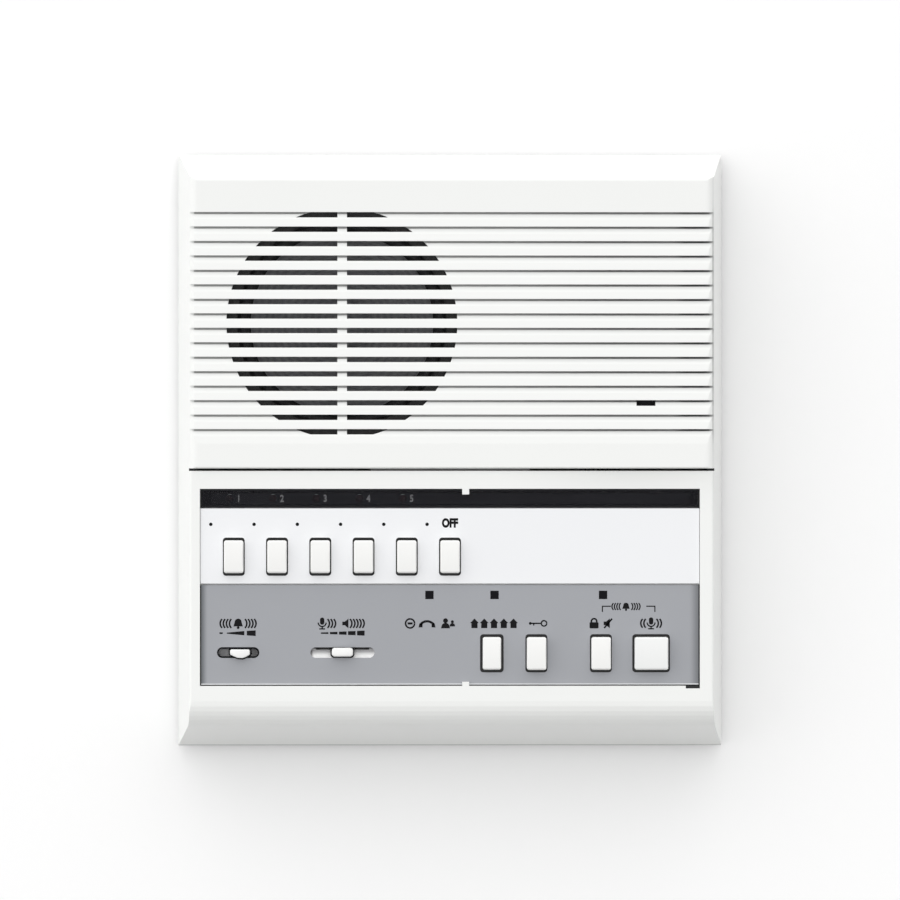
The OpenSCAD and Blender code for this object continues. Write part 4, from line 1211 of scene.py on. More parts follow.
class GeometryBench(Bench):
    """A Geometry Nodes tree with named inputs, run once on a holder and kept as a plain mesh."""

    def __init__(self, name: str, inputs: dict[str, Union[float, int, bpy.types.Object]]) -> None:
        """Makes the tree.

        Args:
            name: Name of the tree.
            inputs: Its named inputs and their values.
        """
        super().__init__(bpy.data.node_groups.new(name, "GeometryNodeTree"))
        self.values = inputs
        interface = self.tree.interface
        interface.new_socket("Geometry", in_out="INPUT", socket_type="NodeSocketGeometry")
        kinds = {float: "NodeSocketFloat", int: "NodeSocketInt", bpy.types.Object: "NodeSocketObject"}
        for key, value in inputs.items():
            interface.new_socket(key, in_out="INPUT", socket_type=kinds[type(value)])
        interface.new_socket("Geometry", in_out="OUTPUT", socket_type="NodeSocketGeometry")
        self.entry = self.tree.nodes.new("NodeGroupInput")
        self.exit = self.tree.nodes.new("NodeGroupOutput")

    def named(self, key: str) -> Sock:
        """One of the tree's inputs."""
        return Sock(self, self.entry.outputs[key])

    def vector(self, x: Value = 0.0, y: Value = 0.0, z: Value = 0.0) -> Sock:
        """Three values as a vector."""
        return self.out("ShaderNodeCombineXYZ", None, {"X": x, "Y": y, "Z": z})

    def run(self, name: str, geometry: Sock, finish: Finish,
            holder: Optional[bpy.types.Mesh] = None) -> bpy.types.Mesh:
        """Closes the tree with Realize Instances and Set Material, runs it and keeps its mesh.

        Args:
            name: Name of the mesh.
            geometry: What the tree has made.
            finish: Its finish.
            holder: A mesh that the tree starts from, or None.

        Returns:
            The plain mesh.
        """
        real = self.out("GeometryNodeRealizeInstances", None, {"Geometry": geometry})
        dressed = self.out("GeometryNodeSetMaterial", None,
                           {"Geometry": real, "Material": finish.material()})
        self.tree.links.new(dressed.socket, self.exit.inputs["Geometry"])
        carrier = bpy.data.objects.new(name + "_carrier", holder or bpy.data.meshes.new(name + "_carrier"))
        bpy.context.scene.collection.objects.link(carrier)
        modifier = carrier.modifiers.new("build", "NODES")
        modifier.node_group = self.tree
        for item in self.tree.interface.items_tree:
            if item.item_type == "SOCKET" and item.in_out == "INPUT" and item.name in self.values:
                modifier[item.identifier] = self.values[item.name]
        depsgraph = bpy.context.evaluated_depsgraph_get()
        mesh = bpy.data.meshes.new_from_object(carrier.evaluated_get(depsgraph), depsgraph=depsgraph)
        carrier.modifiers.remove(modifier)
        bpy.data.objects.remove(carrier)
        bpy.data.node_groups.remove(self.tree)
        mesh.name = name
        return mesh


def coil(name: str, finish: Finish, middle: Point3, radius: float, height: float, turns: float,
         wire: float, dead_turns: float = 0.9) -> bpy.types.Mesh:
    """A coil spring with closed, flattened ends, wound by Geometry Nodes.

    Args:
        name: Name of the mesh.
        finish: Its finish.
        middle: Middle of its lower end, in metres.
        radius: Radius to the wire's middle, in metres.
        height: Full height, in metres.
        turns: Turns in all.
        wire: Radius of the wire, in metres.
        dead_turns: Turns that lie flat at each end.

    Returns:
        The mesh.
    """
    bench = GeometryBench("coil_spring", {"Radius": radius, "Height": height, "Turns": turns,
                                          "Wire": wire, "Flat Turns": dead_turns})
    tall, round_turns, thick, flat = (bench.named(key) for key in ("Height", "Turns", "Wire", "Flat Turns"))
    spiral = bench.out("GeometryNodeCurveSpiral", None,
                       {"Resolution": 24, "Rotations": round_turns, "Start Radius": bench.named("Radius"),
                        "End Radius": bench.named("Radius"), "Height": 0.0})
    turn = bench.out("GeometryNodeSplineParameter", output="Factor") * round_turns
    climb = ((turn - flat) / (round_turns - flat * 2.0)).clamped()
    lift = tall - thick * 2.0 - thick * 4.0
    wound = (turn / flat).clamped() * (thick * 2.0)
    closing = ((turn - round_turns + flat) / flat).clamped() * (thick * 2.0)
    z = climb * lift + wound + closing + thick
    raised = bench.out("GeometryNodeSetPosition", None, {"Geometry": spiral, "Offset": bench.vector(z=z)})
    moved = bench.out("GeometryNodeTransform", None, {"Geometry": raised, "Translation": middle})
    section = bench.out("GeometryNodeCurvePrimitiveCircle", None,
                        {"Resolution": 8, "Radius": bench.named("Wire")})
    tube = bench.out("GeometryNodeCurveToMesh", None, {"Curve": moved, "Profile Curve": section,
                                                       "Fill Caps": True})
    return bench.run(name, tube, finish)


def planted(name: str, finish: Finish, part: bpy.types.Mesh, places: Sequence[Point3],
            turns: Sequence[float] = (), jitter: float = 0.0, seed: int = 3,
            keep_code: bool = False) -> bpy.types.Mesh:
    """Copies of one part on many places, by Geometry Nodes.

    Args:
        name: Name of the mesh.
        finish: Its finish.
        part: The part, about the origin; it is removed.
        places: Where the copies stand, in metres.
        turns: Each copy's turn about Z, in radians, or none.
        jitter: Most that a copy is turned at random, in radians.
        seed: Seed of that turn.
        keep_code: Whether each copy gets a random number in the attribute code.

    Returns:
        The mesh.
    """
    model = bpy.data.objects.new(name + "_model", part)
    bpy.context.scene.collection.objects.link(model)
    spots = bpy.data.meshes.new(name + "_places")
    spots.from_pydata([tuple(p) for p in places], [], [])
    angle = spots.attributes.new("angle", "FLOAT", "POINT")
    angle.data.foreach_set("value", list(turns) if turns else [0.0] * len(places))
    bench = GeometryBench("planted_parts", {"Part": model, "Jitter": jitter, "Seed": seed})
    info = bench.out("GeometryNodeObjectInfo", {"transform_space": "ORIGINAL"},
                     {"Object": bench.named("Part")}, "Geometry")
    set_turn = bench.out("GeometryNodeInputNamedAttribute", {"data_type": "FLOAT"}, {"Name": "angle"},
                         "Attribute")
    chance = bench.out("FunctionNodeRandomValue", {"data_type": "FLOAT"},
                       {"Min": -1.0, "Max": 1.0, "Seed": bench.named("Seed")}, "Value")
    whole = set_turn + chance * bench.named("Jitter")
    points = bench.out("GeometryNodeMeshToPoints", None,
                       {"Mesh": bench.named("Geometry"), "Radius": 0.0001})
    copies = bench.out("GeometryNodeInstanceOnPoints", None,
                       {"Points": points, "Instance": info, "Rotation": bench.vector(z=whole)})
    if keep_code:
        number = bench.out("FunctionNodeRandomValue", {"data_type": "FLOAT"},
                           {"Min": 0.0, "Max": 1.0, "Seed": bench.named("Seed")}, "Value")
        copies = bench.out("GeometryNodeStoreNamedAttribute", {"data_type": "FLOAT", "domain": "INSTANCE"},
                           {"Geometry": copies, "Name": "code", "Value": number})
    mesh = bench.run(name, copies, finish, spots)
    bpy.data.objects.remove(model)
    bpy.data.meshes.remove(part)
    return mesh


def plant(name: str, finish: Finish, part: bpy.types.Mesh, places: Sequence[Point3],
          turns: Sequence[float] = (), replaces: Sequence[str] = (), sharp: float = SHARP,
          **how: Union[float, int, bool]) -> bpy.types.Object:
    """Copies of one part on many places, as a finished piece of the case.

    Args:
        name: Name of the piece.
        finish: Its finish.
        part: The part, about the origin; it is removed.
        places: Where the copies stand, in metres.
        turns: Each copy's turn about Z, in radians, or none.
        replaces: CAD nodes that it stands for.
        sharp: Angle in degrees past which an edge stays sharp.
        how: Jitter, seed and keep_code, as for planted.

    Returns:
        The piece.
    """
    mesh = planted(name, finish, part, places, turns, **how)
    return settle(name, mesh, finish, CASE, replaces, sharp)


def tubed(name: str, finish: Finish, path: Sequence[Point3], radius: float, sides: int = 10,
          smooth: int = 6) -> bpy.types.Mesh:
    """A wire along a smooth curve through a few points.

    Args:
        name: Name of the mesh.
        finish: Its finish.
        path: Points that it passes, in metres.
        radius: Its radius, in metres.
        sides: Faces round it.
        smooth: Steps between two points.

    Returns:
        The mesh.
    """
    line = bpy.data.curves.new(name + "_line", "CURVE")
    line.dimensions = "3D"
    line.resolution_u = smooth
    line.bevel_depth = radius
    line.bevel_resolution = max(1, sides // 4)
    line.use_fill_caps = True
    spline = line.splines.new("BEZIER")
    spline.bezier_points.add(len(path) - 1)
    for point, place in zip(spline.bezier_points, path):
        point.co = place
        point.handle_left_type = point.handle_right_type = "AUTO"
    holder = bpy.data.objects.new(name + "_line", line)
    bpy.context.scene.collection.objects.link(holder)
    depsgraph = bpy.context.evaluated_depsgraph_get()
    mesh = bpy.data.meshes.new_from_object(holder.evaluated_get(depsgraph), depsgraph=depsgraph)
    bpy.data.objects.remove(holder)
    bpy.data.curves.remove(line)
    clean(mesh, 1e-6)
    mesh.materials.append(finish.material())
    return mesh


# ---------------------------------------------------------------- legends


class Sign(Enum):
    """The pictograms that stand where the panel needs a legend."""

    BELL = "bell"
    LOUDSPEAKER = "loudspeaker"
    ENGAGED = "engaged"
    ALL_ROOMS = "all rooms"
    PADLOCK = "padlock"
    MICROPHONE = "microphone"
    KEY = "key"


@dataclass(frozen=True)
class Press:
    """Prints marks on the panel's surfaces as thin raised ink."""

    ink_height: float = 0.012
    pen: float = 0.46

    def flat(self, outlines: Sequence[Sequence[Point2]], top: float, middle: Point2,
             size: float = 1.0) -> list[bpy.types.Mesh]:
        """Ink shapes from outlines.

        Args:
            outlines: Outlines round the mark's own middle.
            top: Height of the surface, in millimetres.
            middle: Where the mark stands, in millimetres.
            size: Scale of the outlines.

        Returns:
            A mesh for each outline.
        """
        return [slab("ink", [(x * size, y * size) for x, y in outline], top, top + self.ink_height, middle)
                for outline in outlines]

    def letters(self, text: str, height: float, top: float, middle: Point2, narrow: float = 0.9,
                weight: float = 0.0) -> bpy.types.Mesh:
        """Figures in a plain face.

        Args:
            text: What is set.
            height: Height of a figure, in millimetres.
            top: Height of the surface, in millimetres.
            middle: Middle of the word, in millimetres.
            narrow: Width for the height.
            weight: How much the strokes are swelled, as a share of the height.

        Returns:
            The mesh.
        """
        line = bpy.data.curves.new("figures", "FONT")
        line.body = text
        line.align_x = "CENTER"
        line.align_y = "CENTER"
        line.extrude = 0.5
        line.offset = weight
        line.resolution_u = 4
        holder = bpy.data.objects.new("figures", line)
        bpy.context.scene.collection.objects.link(holder)
        depsgraph = bpy.context.evaluated_depsgraph_get()
        made = bpy.data.meshes.new_from_object(holder.evaluated_get(depsgraph), depsgraph=depsgraph)
        bpy.data.objects.remove(holder)
        bpy.data.curves.remove(line)
        low = Vector([min(v.co[i] for v in made.vertices) for i in range(3)])
        high = Vector([max(v.co[i] for v in made.vertices) for i in range(3)])
        size = height / (high.y - low.y) * MM
        for vertex in made.vertices:
            at = vertex.co - (low + high) / 2
            vertex.co = (at.x * size * narrow + middle[0] * MM, at.y * size + middle[1] * MM,
                         (top + (self.ink_height if at.z > 0 else 0.0)) * MM)
        clean(made)
        return made

    def sign(self, kind: Sign) -> list[list[Point2]]:
        """Outlines of a pictogram, about 3 mm high.

        Args:
            kind: Which one.

        Returns:
            The outlines.
        """
        pen = self.pen

        def moved(shapes: Sequence[Sequence[Point2]], by: float, size: float = 1.0) -> list[list[Point2]]:
            """The shapes shifted to the right by a distance; a negative size mirrors them."""
            made = [[(x * size + by, y * abs(size)) for x, y in shape] for shape in shapes]
            return [shape[::-1] for shape in made] if size < 0 else made

        def waves(count: int) -> list[list[Point2]]:
            """Sound waves of one height, side by side to the right."""
            return [stroke(arc_points((0.85 * k - 1.7, 0.0), 1.7, -46, 46, 8), pen) for k in range(count)]

        horn = [[(-0.95, -0.5), (-0.25, -0.5), (0.75, -1.35), (0.75, 1.35), (-0.25, 0.5), (-0.95, 0.5)]]
        cradle = arc_points((0.0, 0.25), 1.1, 180, 360, 12)
        microphone = [[(x, y + 0.65) for x, y in rounded_outline(1.2, 2.0, 0.58)],
                      *(stroke(line, pen * 0.8) for line in (cradle, [(0.0, -0.9), (0.0, -1.5)],
                                                             [(-0.8, -1.5), (0.8, -1.5)]))]
        if kind is Sign.BELL:
            dome = [(-1.3, -0.8), *arc_points((0.0, 0.4), 0.95, 180, 0, 10), (1.3, -0.8)]
            bell = [dome, arc_points((0.0, -1.15), 0.38, 0, 360, 12)[:-1]]
            return [*bell, *moved(waves(4), 2.4), *moved(waves(4), -2.4, -1.0)]
        if kind is Sign.LOUDSPEAKER:
            return [*moved(microphone, -5.6), *moved(waves(3), -3.6), *moved(horn, 0.9),
                    *moved(waves(5), 2.6)]
        if kind is Sign.ENGAGED:
            ring = stroke(arc_points((0.0, 0.0), 1.25, 0, 358, 28), pen)
            bar = stroke([(-0.7, 0.0), (0.7, 0.0)], pen * 1.3)
            handset = [stroke(arc_points((0.0, -1.7), 2.3, 35, 145, 10), pen * 1.4),
                       [(-2.35, -1.1), (-1.25, -1.1), (-1.25, 0.0), (-2.1, 0.0)],
                       [(1.25, -1.1), (2.35, -1.1), (2.1, 0.0), (1.25, 0.0)]]
            person = [arc_points((0.0, 0.75), 0.68, 0, 360, 14)[:-1],
                      [(-1.25, -1.35), (1.25, -1.35), *arc_points((0.0, -1.0), 1.15, 0, 180, 10)]]
            return [*moved([ring, bar], -5.4), *moved(handset, -0.7), *moved(person, 4.4),
                    *moved(person, 6.3, 0.62)]
        if kind is Sign.ALL_ROOMS:
            home = [(-0.85, -1.3), (0.85, -1.3), (0.85, 0.1), (1.2, 0.1), (0.0, 1.35), (-1.2, 0.1),
                    (-0.85, 0.1)]
            return [shape for shift in (-5.4, -2.7, 0.0, 2.7, 5.4) for shape in moved([home], shift)]
        if kind is Sign.PADLOCK:
            body = [(x, y - 0.55) for x, y in rounded_outline(2.5, 1.7, 0.3)]
            shackle = [(-0.75, 0.2), *arc_points((0.0, 0.55), 0.75, 180, 0, 10), (0.75, 0.2)]
            return [*moved([body, stroke(shackle, pen)], -1.9), *moved(horn, 1.7),
                    stroke([(0.9, -1.3), (3.1, 1.3)], pen)]
        if kind is Sign.MICROPHONE:
            return [*microphone, *moved(waves(2), 2.0), *moved(waves(2), -2.0, -1.0)]
        bow = arc_points((2.1, 0.0), 0.95, 0, 358, 22)
        return [arc_points((-2.7, 0.0), 0.5, 0, 360, 14)[:-1], stroke([(-2.7, 0.0), (1.2, 0.0)], pen * 1.1),
                stroke([(-1.5, 0.0), (-1.5, -0.75)], pen), stroke(bow, pen * 1.1)]


# ---------------------------------------------------------------- sub-assemblies


@dataclass
class Housing:
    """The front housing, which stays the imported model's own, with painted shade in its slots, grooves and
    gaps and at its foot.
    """

    first_louvre: float = 87.97
    pitch: float = 5.35
    count: int = 16
    step_line: Point2 = (-7.72, -6.82)
    microphone: Point2 = (71.8, 17.44)
    groove: Point2 = (49.0, 50.33)
    groove_end: float = 95.4
    gap: Point2 = (44.0, 49.2)

    def build(self) -> None:
        """Dresses the housing with painted shade in its slots, seams, gaps and grooves, under each louvre
        step, and at its foot.
        """
        # colours of the painted shade
        dark, grey = PAINTED_GAP_SHADE, (0.07, 0.07, 0.07)
        low, high = box_mm("control_plate")
        rows = (self.first_louvre - self.count * self.pitch + 1.0, self.first_louvre + 0.4)
        columns = (low.y - 0.5, high.y)
        mx, my = self.microphone
        layers = (
            # painted shade under each louvre step, lighter towards the light on the left
            Grime((-97.0, 99.0), self.first_louvre, self.pitch, self.count),
            # painted shade in the louvre grooves, growing towards their right ends
            Zone((-self.groove_end, self.groove_end), rows, self.groove, grey, 0.55, 0.3),
            Zone((40.0, self.groove_end), rows, self.groove, grey, 0.6, 30.0),
            Zone((84.0, self.groove_end), rows, self.groove, dark, 0.8, 3.0),
            # painted shade in the step line between the two halves
            Zone((-110.0, 110.0), (self.step_line[0] - 0.05, self.step_line[1] + 0.05), (47.0, 49.72), dark),
            # painted shade in the gaps round the control plate
            Zone((low.x - 0.8, low.x + 0.05), columns, self.gap, dark),
            Zone((high.x - 0.05, high.x + 0.8), columns, self.gap, dark),
            Zone((low.x - 0.8, high.x + 0.8), (low.y - 0.8, low.y + 0.05), self.gap, (0.05, 0.05, 0.05)),
            # painted shade in the notch and in the microphone slot
            Zone((86.6, 91.9), (low.y - 1.5, low.y), (44.0, 49.7), dark),
            Zone((mx - 3.5, mx + 3.5), (my - 1.1, my + 1.1), (44.0, 51.0), dark),
            # painted shade in a band at the housing's foot
            Zone((-110.0, 110.0), (-113.0, -110.7), (2.0, 4.4), (0.2, 0.2, 0.2), 0.45, 0.3))
        dress("front_housing", replace(Finishes.ivory, zones=layers))


@dataclass
class Directory:
    """The smoked window over its numbered card."""

    figure_height: float = 2.7
    figure_shift: float = 1.8

    def build(self) -> None:
        """Dresses window and card and prints the card's figures."""
        start, end = box_mm("directory_window")
        dress("directory_window", replace(Finishes.smoked, low=(start.x, start.y), high=(end.x, end.y)))
        dress("directory_card", Finishes.card)
        press = Press()
        low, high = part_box("directory_card")
        top = high.z / MM
        y = (low.y + high.y) / 2 / MM
        marks = []
        for number in range(1, 6):
            x = node_middle(f"station_button_{number}").x / MM
            place = (x + self.figure_shift, y)
            marks.append(press.letters(str(number), self.figure_height, top, place, 0.8, 0.03))
        settle("card_figures", joined("card_figures", marks), Finishes.ink_grey, CASE)


@dataclass
class StationPanel:
    """The white panel of the station buttons and its printed dots."""

    dot: float = 0.65
    dot_lift: float = 11.97
    dot_shift: float = -8.5
    off_height: float = 3.6

    def build(self) -> None:
        """Dresses the panel, with painted shade on the walls of its cap openings, and prints its dots and the
        off mark.
        """
        # painted shade on the walls of the cap openings
        openings = Zone((-88.0, 7.0), (-48.6, -30.0), (46.0, 49.14), (0.015, 0.015, 0.015))
        dress("station_panel", replace(Finishes.panel_white, zones=(openings,)))
        press = Press()
        _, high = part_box("station_panel")
        top = high.z / MM
        buttons = [middle_mm(f"station_button_{number}") for number in range(1, 6)]
        off = middle_mm("off_button")
        marks = []
        for place in [*buttons, off]:
            circle = arc_points((0.0, 0.0), self.dot, 0, 360, 18)[:-1]
            marks += press.flat([circle], top, (place.x + self.dot_shift, place.y + self.dot_lift))
        place = (off.x, off.y + self.dot_lift + 0.5)
        marks.append(press.letters("OFF", self.off_height, top, place, 0.76, 0.06))
        settle("station_panel_marks", joined("station_panel_marks", marks), Finishes.ink_black, CASE)


@dataclass
class ControlPlate:
    """The grey plate, its indicator windows and its printed legends."""

    legend_lift: float = 11.07
    bracket_drop: float = 2.1
    line: float = 0.42
    trough: Point2 = (-40.5, -74.97)

    def wedges(self) -> list[list[Point2]]:
        """The growing marks over the signal volume."""
        wedge = [(-4.2, -0.2), (2.3, -0.8), (2.3, 0.8), (-4.2, 0.2)]
        block = [(3.2, -0.85), (6.5, -1.05), (6.5, 1.05), (3.2, 0.85)]
        dash = [(-6.9, -0.3), (-5.7, -0.3), (-5.7, 0.3), (-6.9, 0.3)]
        return [dash, wedge, block]

    def steps(self) -> list[list[Point2]]:
        """The five growing marks over the voice volume."""
        marks = []
        for k in range(5):
            x0, tall = -8.0 + 3.35 * k, 0.24 + 0.15 * k
            marks.append([(x0, -tall), (x0 + 2.8, -tall - 0.1), (x0 + 2.8, tall + 0.1), (x0, tall)])
        return marks

    def finish(self, low: Vector, high: Vector) -> None:
        """Paints the plate: painted shade in its openings, along its left and right ends and in the upper
        part and left end of the voice control's trough, whose floor is otherwise bare and pale, and a painted
        highlight along its lower edge.

        Args:
            low: Lowest corner of its box, in millimetres.
            high: Its highest corner.
        """
        x, y = self.trough
        dark, top = PAINTED_GAP_SHADE, high.z
        face, scoop = (top - 0.3, top + 1), (top - 2.4, top - 0.03)
        layers = (
            # painted shade along the plate's left and right ends
            Zone((low.x - 1, low.x + 1.3), (-200.0, 0.0), face, srgb(112, 116, 120), 1.0, 1.3),
            Zone((high.x - 1.8, high.x + 4), (-200.0, 0.0), face, srgb(118, 120, 124), 1.0, 2.0),
            # painted highlight along the plate's lower edge
            Zone((low.x - 1, high.x + 1), (low.y - 1, low.y + 0.42), face, srgb(226, 228, 230), 1.0, 0.12),
            # painted shade in the plate's openings
            Zone((low.x + 2, high.x - 2), (low.y + 2, high.y - 1), (40.0, top - 0.12), dark),
            Zone((x - 12.2, x + 12.2), (y - 2.1, y + 2.1), scoop, (0.9, 0.9, 0.9)),
            # painted shade in the trough's upper part, along its top edge and at its left end
            Zone((x - 13, x + 13), (y - 0.2, y + 2.3), scoop, (0.26, 0.26, 0.27), 0.85, 1.0),
            Zone((x - 13, x + 13), (y + 1.45, y + 2.3), scoop, dark, 1.0, 0.15),
            Zone((x - 13, x - 11.2), (y - 2.3, y + 2.3), scoop, dark, 0.8, 0.5))
        dress("control_plate", replace(Finishes.grey_plate, zones=layers))

    def build(self) -> None:
        """Dresses the plate and prints its legends."""
        dress("indicator_lenses", Finishes.lens_black)
        press = Press()
        low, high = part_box("control_plate")
        top = high.z / MM
        self.finish(low / MM, high / MM)
        at = {name: middle_mm(name) for name in
              ("signal_volume_knob", "voice_volume_knob", "all_call_button", "door_release_button",
               "privacy_button", "talk_button")}
        y = at["all_call_button"].y + self.legend_lift
        lens_low, lens_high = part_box("indicator_lenses")
        first_lens = lens_low.x / MM + 2.25
        last_lens = lens_high.x / MM - 2.25
        middle_y = node_middle("signal_volume_switch").y / MM
        signal_x = node_middle("signal_volume_switch").x / MM
        voice_x = at["voice_volume_knob"].x
        signs = [(Sign.BELL, signal_x), (Sign.LOUDSPEAKER, voice_x), (Sign.ENGAGED, first_lens),
                 (Sign.ALL_ROOMS, at["all_call_button"].x + 0.8),
                 (Sign.KEY, at["door_release_button"].x + 0.6),
                 (Sign.PADLOCK, at["privacy_button"].x), (Sign.MICROPHONE, at["talk_button"].x)]
        marks = []
        for kind, x in signs:
            marks += press.flat(press.sign(kind), top, (x, y), 1.06 if kind is Sign.KEY else 1.34)
        marks += press.flat(self.wedges(), top, (signal_x, middle_y + 7.2))
        marks += press.flat(self.steps(), top, (voice_x, middle_y + 7.2))
        call = (at["privacy_button"].x + at["talk_button"].x) / 2
        left, right, high_y = last_lens - 0.2, at["talk_button"].x + 1.4, at["all_call_button"].y + 17.4
        for end, way in ((left, 1), (right, -1)):
            corner = [(end, high_y - self.bracket_drop), (end, high_y), (end + way * 3.2, high_y)]
            marks += press.flat([stroke(corner, self.line)], top, (0.0, 0.0))
        marks += press.flat(press.sign(Sign.BELL), top, (call, high_y - 0.1), 1.05)
        settle("control_plate_marks", joined("control_plate_marks", marks), Finishes.ink_black, CASE)


@dataclass
class PushButtons:
    """The ten caps and their return springs."""

    names: tuple[str, ...] = (*(f"station_button_{number}" for number in range(1, 6)), "off_button",
                              "all_call_button", "door_release_button", "privacy_button", "talk_button")
    turns: float = 6.5
    wire: float = 0.3
    radius: float = 2.85

    def spring_of(self, button: str) -> str:
        """The node of a button's spring."""
        return button.replace("_button", "_spring")

    def build(self) -> None:
        """Dresses each cap, with painted shade on its sides below the panel's surface, and winds its spring.
        """
        for name in self.names:
            station = name.startswith(("station", "off"))
            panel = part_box("station_panel" if station else "control_plate")[1].z / MM
            # painted shade on the cap below the panel's surface, inside its opening
            skirt_shade = Zone(ALL, ALL, (panel - 2.2, panel + 0.04), (0.02, 0.02, 0.02))
            white = Finishes.talk_white if name.startswith("talk") else Finishes.cap_white
            dress(name, replace(white, name=white.name + ("_station" if station else ""), zones=(skirt_shade,)))
            spring = self.spring_of(name)
            low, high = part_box(spring)
            tall = high.z - low.z
            foot = ((low.x + high.x) / 2, (low.y + high.y) / 2, low.z)
            mesh = coil(spring + "_coil", Finishes.spring_wire, foot, self.radius * MM, tall, self.turns,
                        self.wire * MM)
            piece = settle(spring + "_coil", mesh, Finishes.spring_wire, CASE, [spring], ROUND)
            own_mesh(piece)


@dataclass
class SlideControls:
    """The two slide volume controls."""

    keel: tuple[Point2, ...] = ((-3.75, -0.65), (-2.4, -1.3), (-0.9, -1.9), (0.9, -2.03), (2.3, -1.55),
                                (3.75, -0.75))
    lip: float = 0.5

    def grown(self, outline: Sequence[Point2], by: float) -> list[Point2]:
        """The outline made wider and taller by a distance all round."""
        wide = max(x for x, _ in outline) - min(x for x, _ in outline)
        tall = max(y for _, y in outline) - min(y for _, y in outline)
        middle = (max(y for _, y in outline) + min(y for _, y in outline)) / 2
        return [(x * (1 + 2 * by / wide), middle + (y - middle) * (1 + 2 * by / tall)) for x, y in outline]

    def signal_knob(self) -> None:
        """The keeled knob with its stem, over a black sheet that slides with it as painted shade; painted
        shade and light in its slot.
        """
        node = "signal_volume_knob"
        low, high = box_mm(node)
        x, y, top = (low.x + high.x) / 2, high.y - 1.25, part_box("control_plate")[1].z / MM
        upper = [(3.75, 0.75), (3.6, 1.1), (3.25, 1.25), (-3.25, 1.25), (-3.6, 1.1), (-3.75, 0.75)]
        outline = [*self.keel, *upper]
        head = softened(slab("head", outline, top + 0.3, high.z, (x, y), 0.96), 0.45, 3)
        stem = slab("stem", rounded_outline(4.8, 2.4, 0.6), low.z, top + 0.35, (x, y))
        knob = joined("signal_knob", [head, stem])
        settle("signal_knob", knob, Finishes.knob_white, "signal_slide", [node])
        # black sheet under the knob, sliding with it: painted shade that the knob casts on the plate
        seal = slab("seal", self.grown(outline, self.lip), top + 0.06, top + 0.28, (x, y - 0.05))
        settle("signal_knob_seal", softened(seal, 0.08, 1), Finishes.seal_black, "signal_slide")
        # painted light: the black shield's upper face made pale where the slot shows it
        shield_painted_light = Zone(ALL, ALL, (43.0, 44.75), (0.8, 0.8, 0.82), 0.95)
        dress("signal_volume_slider", replace(Finishes.black_plastic, name="shield_moulding", zones=(shield_painted_light,)))
        # black ring round the inside of the slot: painted shade on its walls
        middle = middle_mm("signal_volume_switch")
        hole = rounded_outline(14.5, 2.85, 1.42, 8)
        rim = rounded_outline(15.55, 3.9, 1.94, 8)
        liner = carved(slab("liner", rim, top - 1.6, top - 0.08, (middle.x, middle.y)),
                       slab("hole", hole, top - 2.0, top + 0.5, (middle.x, middle.y)))
        settle("signal_slot_liner", liner, Finishes.seal_black, CASE)

    def voice_knob(self) -> None:
        """The knob in its trough, over a black sheet that slides with it as painted shade."""
        node = "voice_volume_knob"
        low, high = box_mm(node)
        x, y = (low.x + high.x) / 2, (low.y + high.y) / 2
        wide, tall = high.x - low.x, high.y - low.y
        head = slab("head", rounded_outline(wide, tall, 1.1, 6), low.z + 0.2, high.z, (x, y), 0.97)
        settle("voice_knob", softened(head, 0.55, 3), Finishes.knob_white, "voice_slide", [node])
        # black sheet under the knob, sliding with it: painted shade that the knob casts on the trough
        edge = rounded_outline(wide + 0.9, tall + 0.5, 1.3, 6)
        seal = slab("seal", edge, low.z + 0.02, low.z + 0.18, (x, y - 0.2))
        settle("voice_knob_seal", softened(seal, 0.06, 1), Finishes.seal_black, "voice_slide")
        dress("voice_volume_slider", Finishes.zinc)

    def build(self) -> None:
        """Makes the knobs and dresses the switch and the potentiometer."""
        self.signal_knob()
        self.voice_knob()
        for name in ("signal_volume_switch", "voice_volume_pot"):
            dress(name, Finishes.zinc)


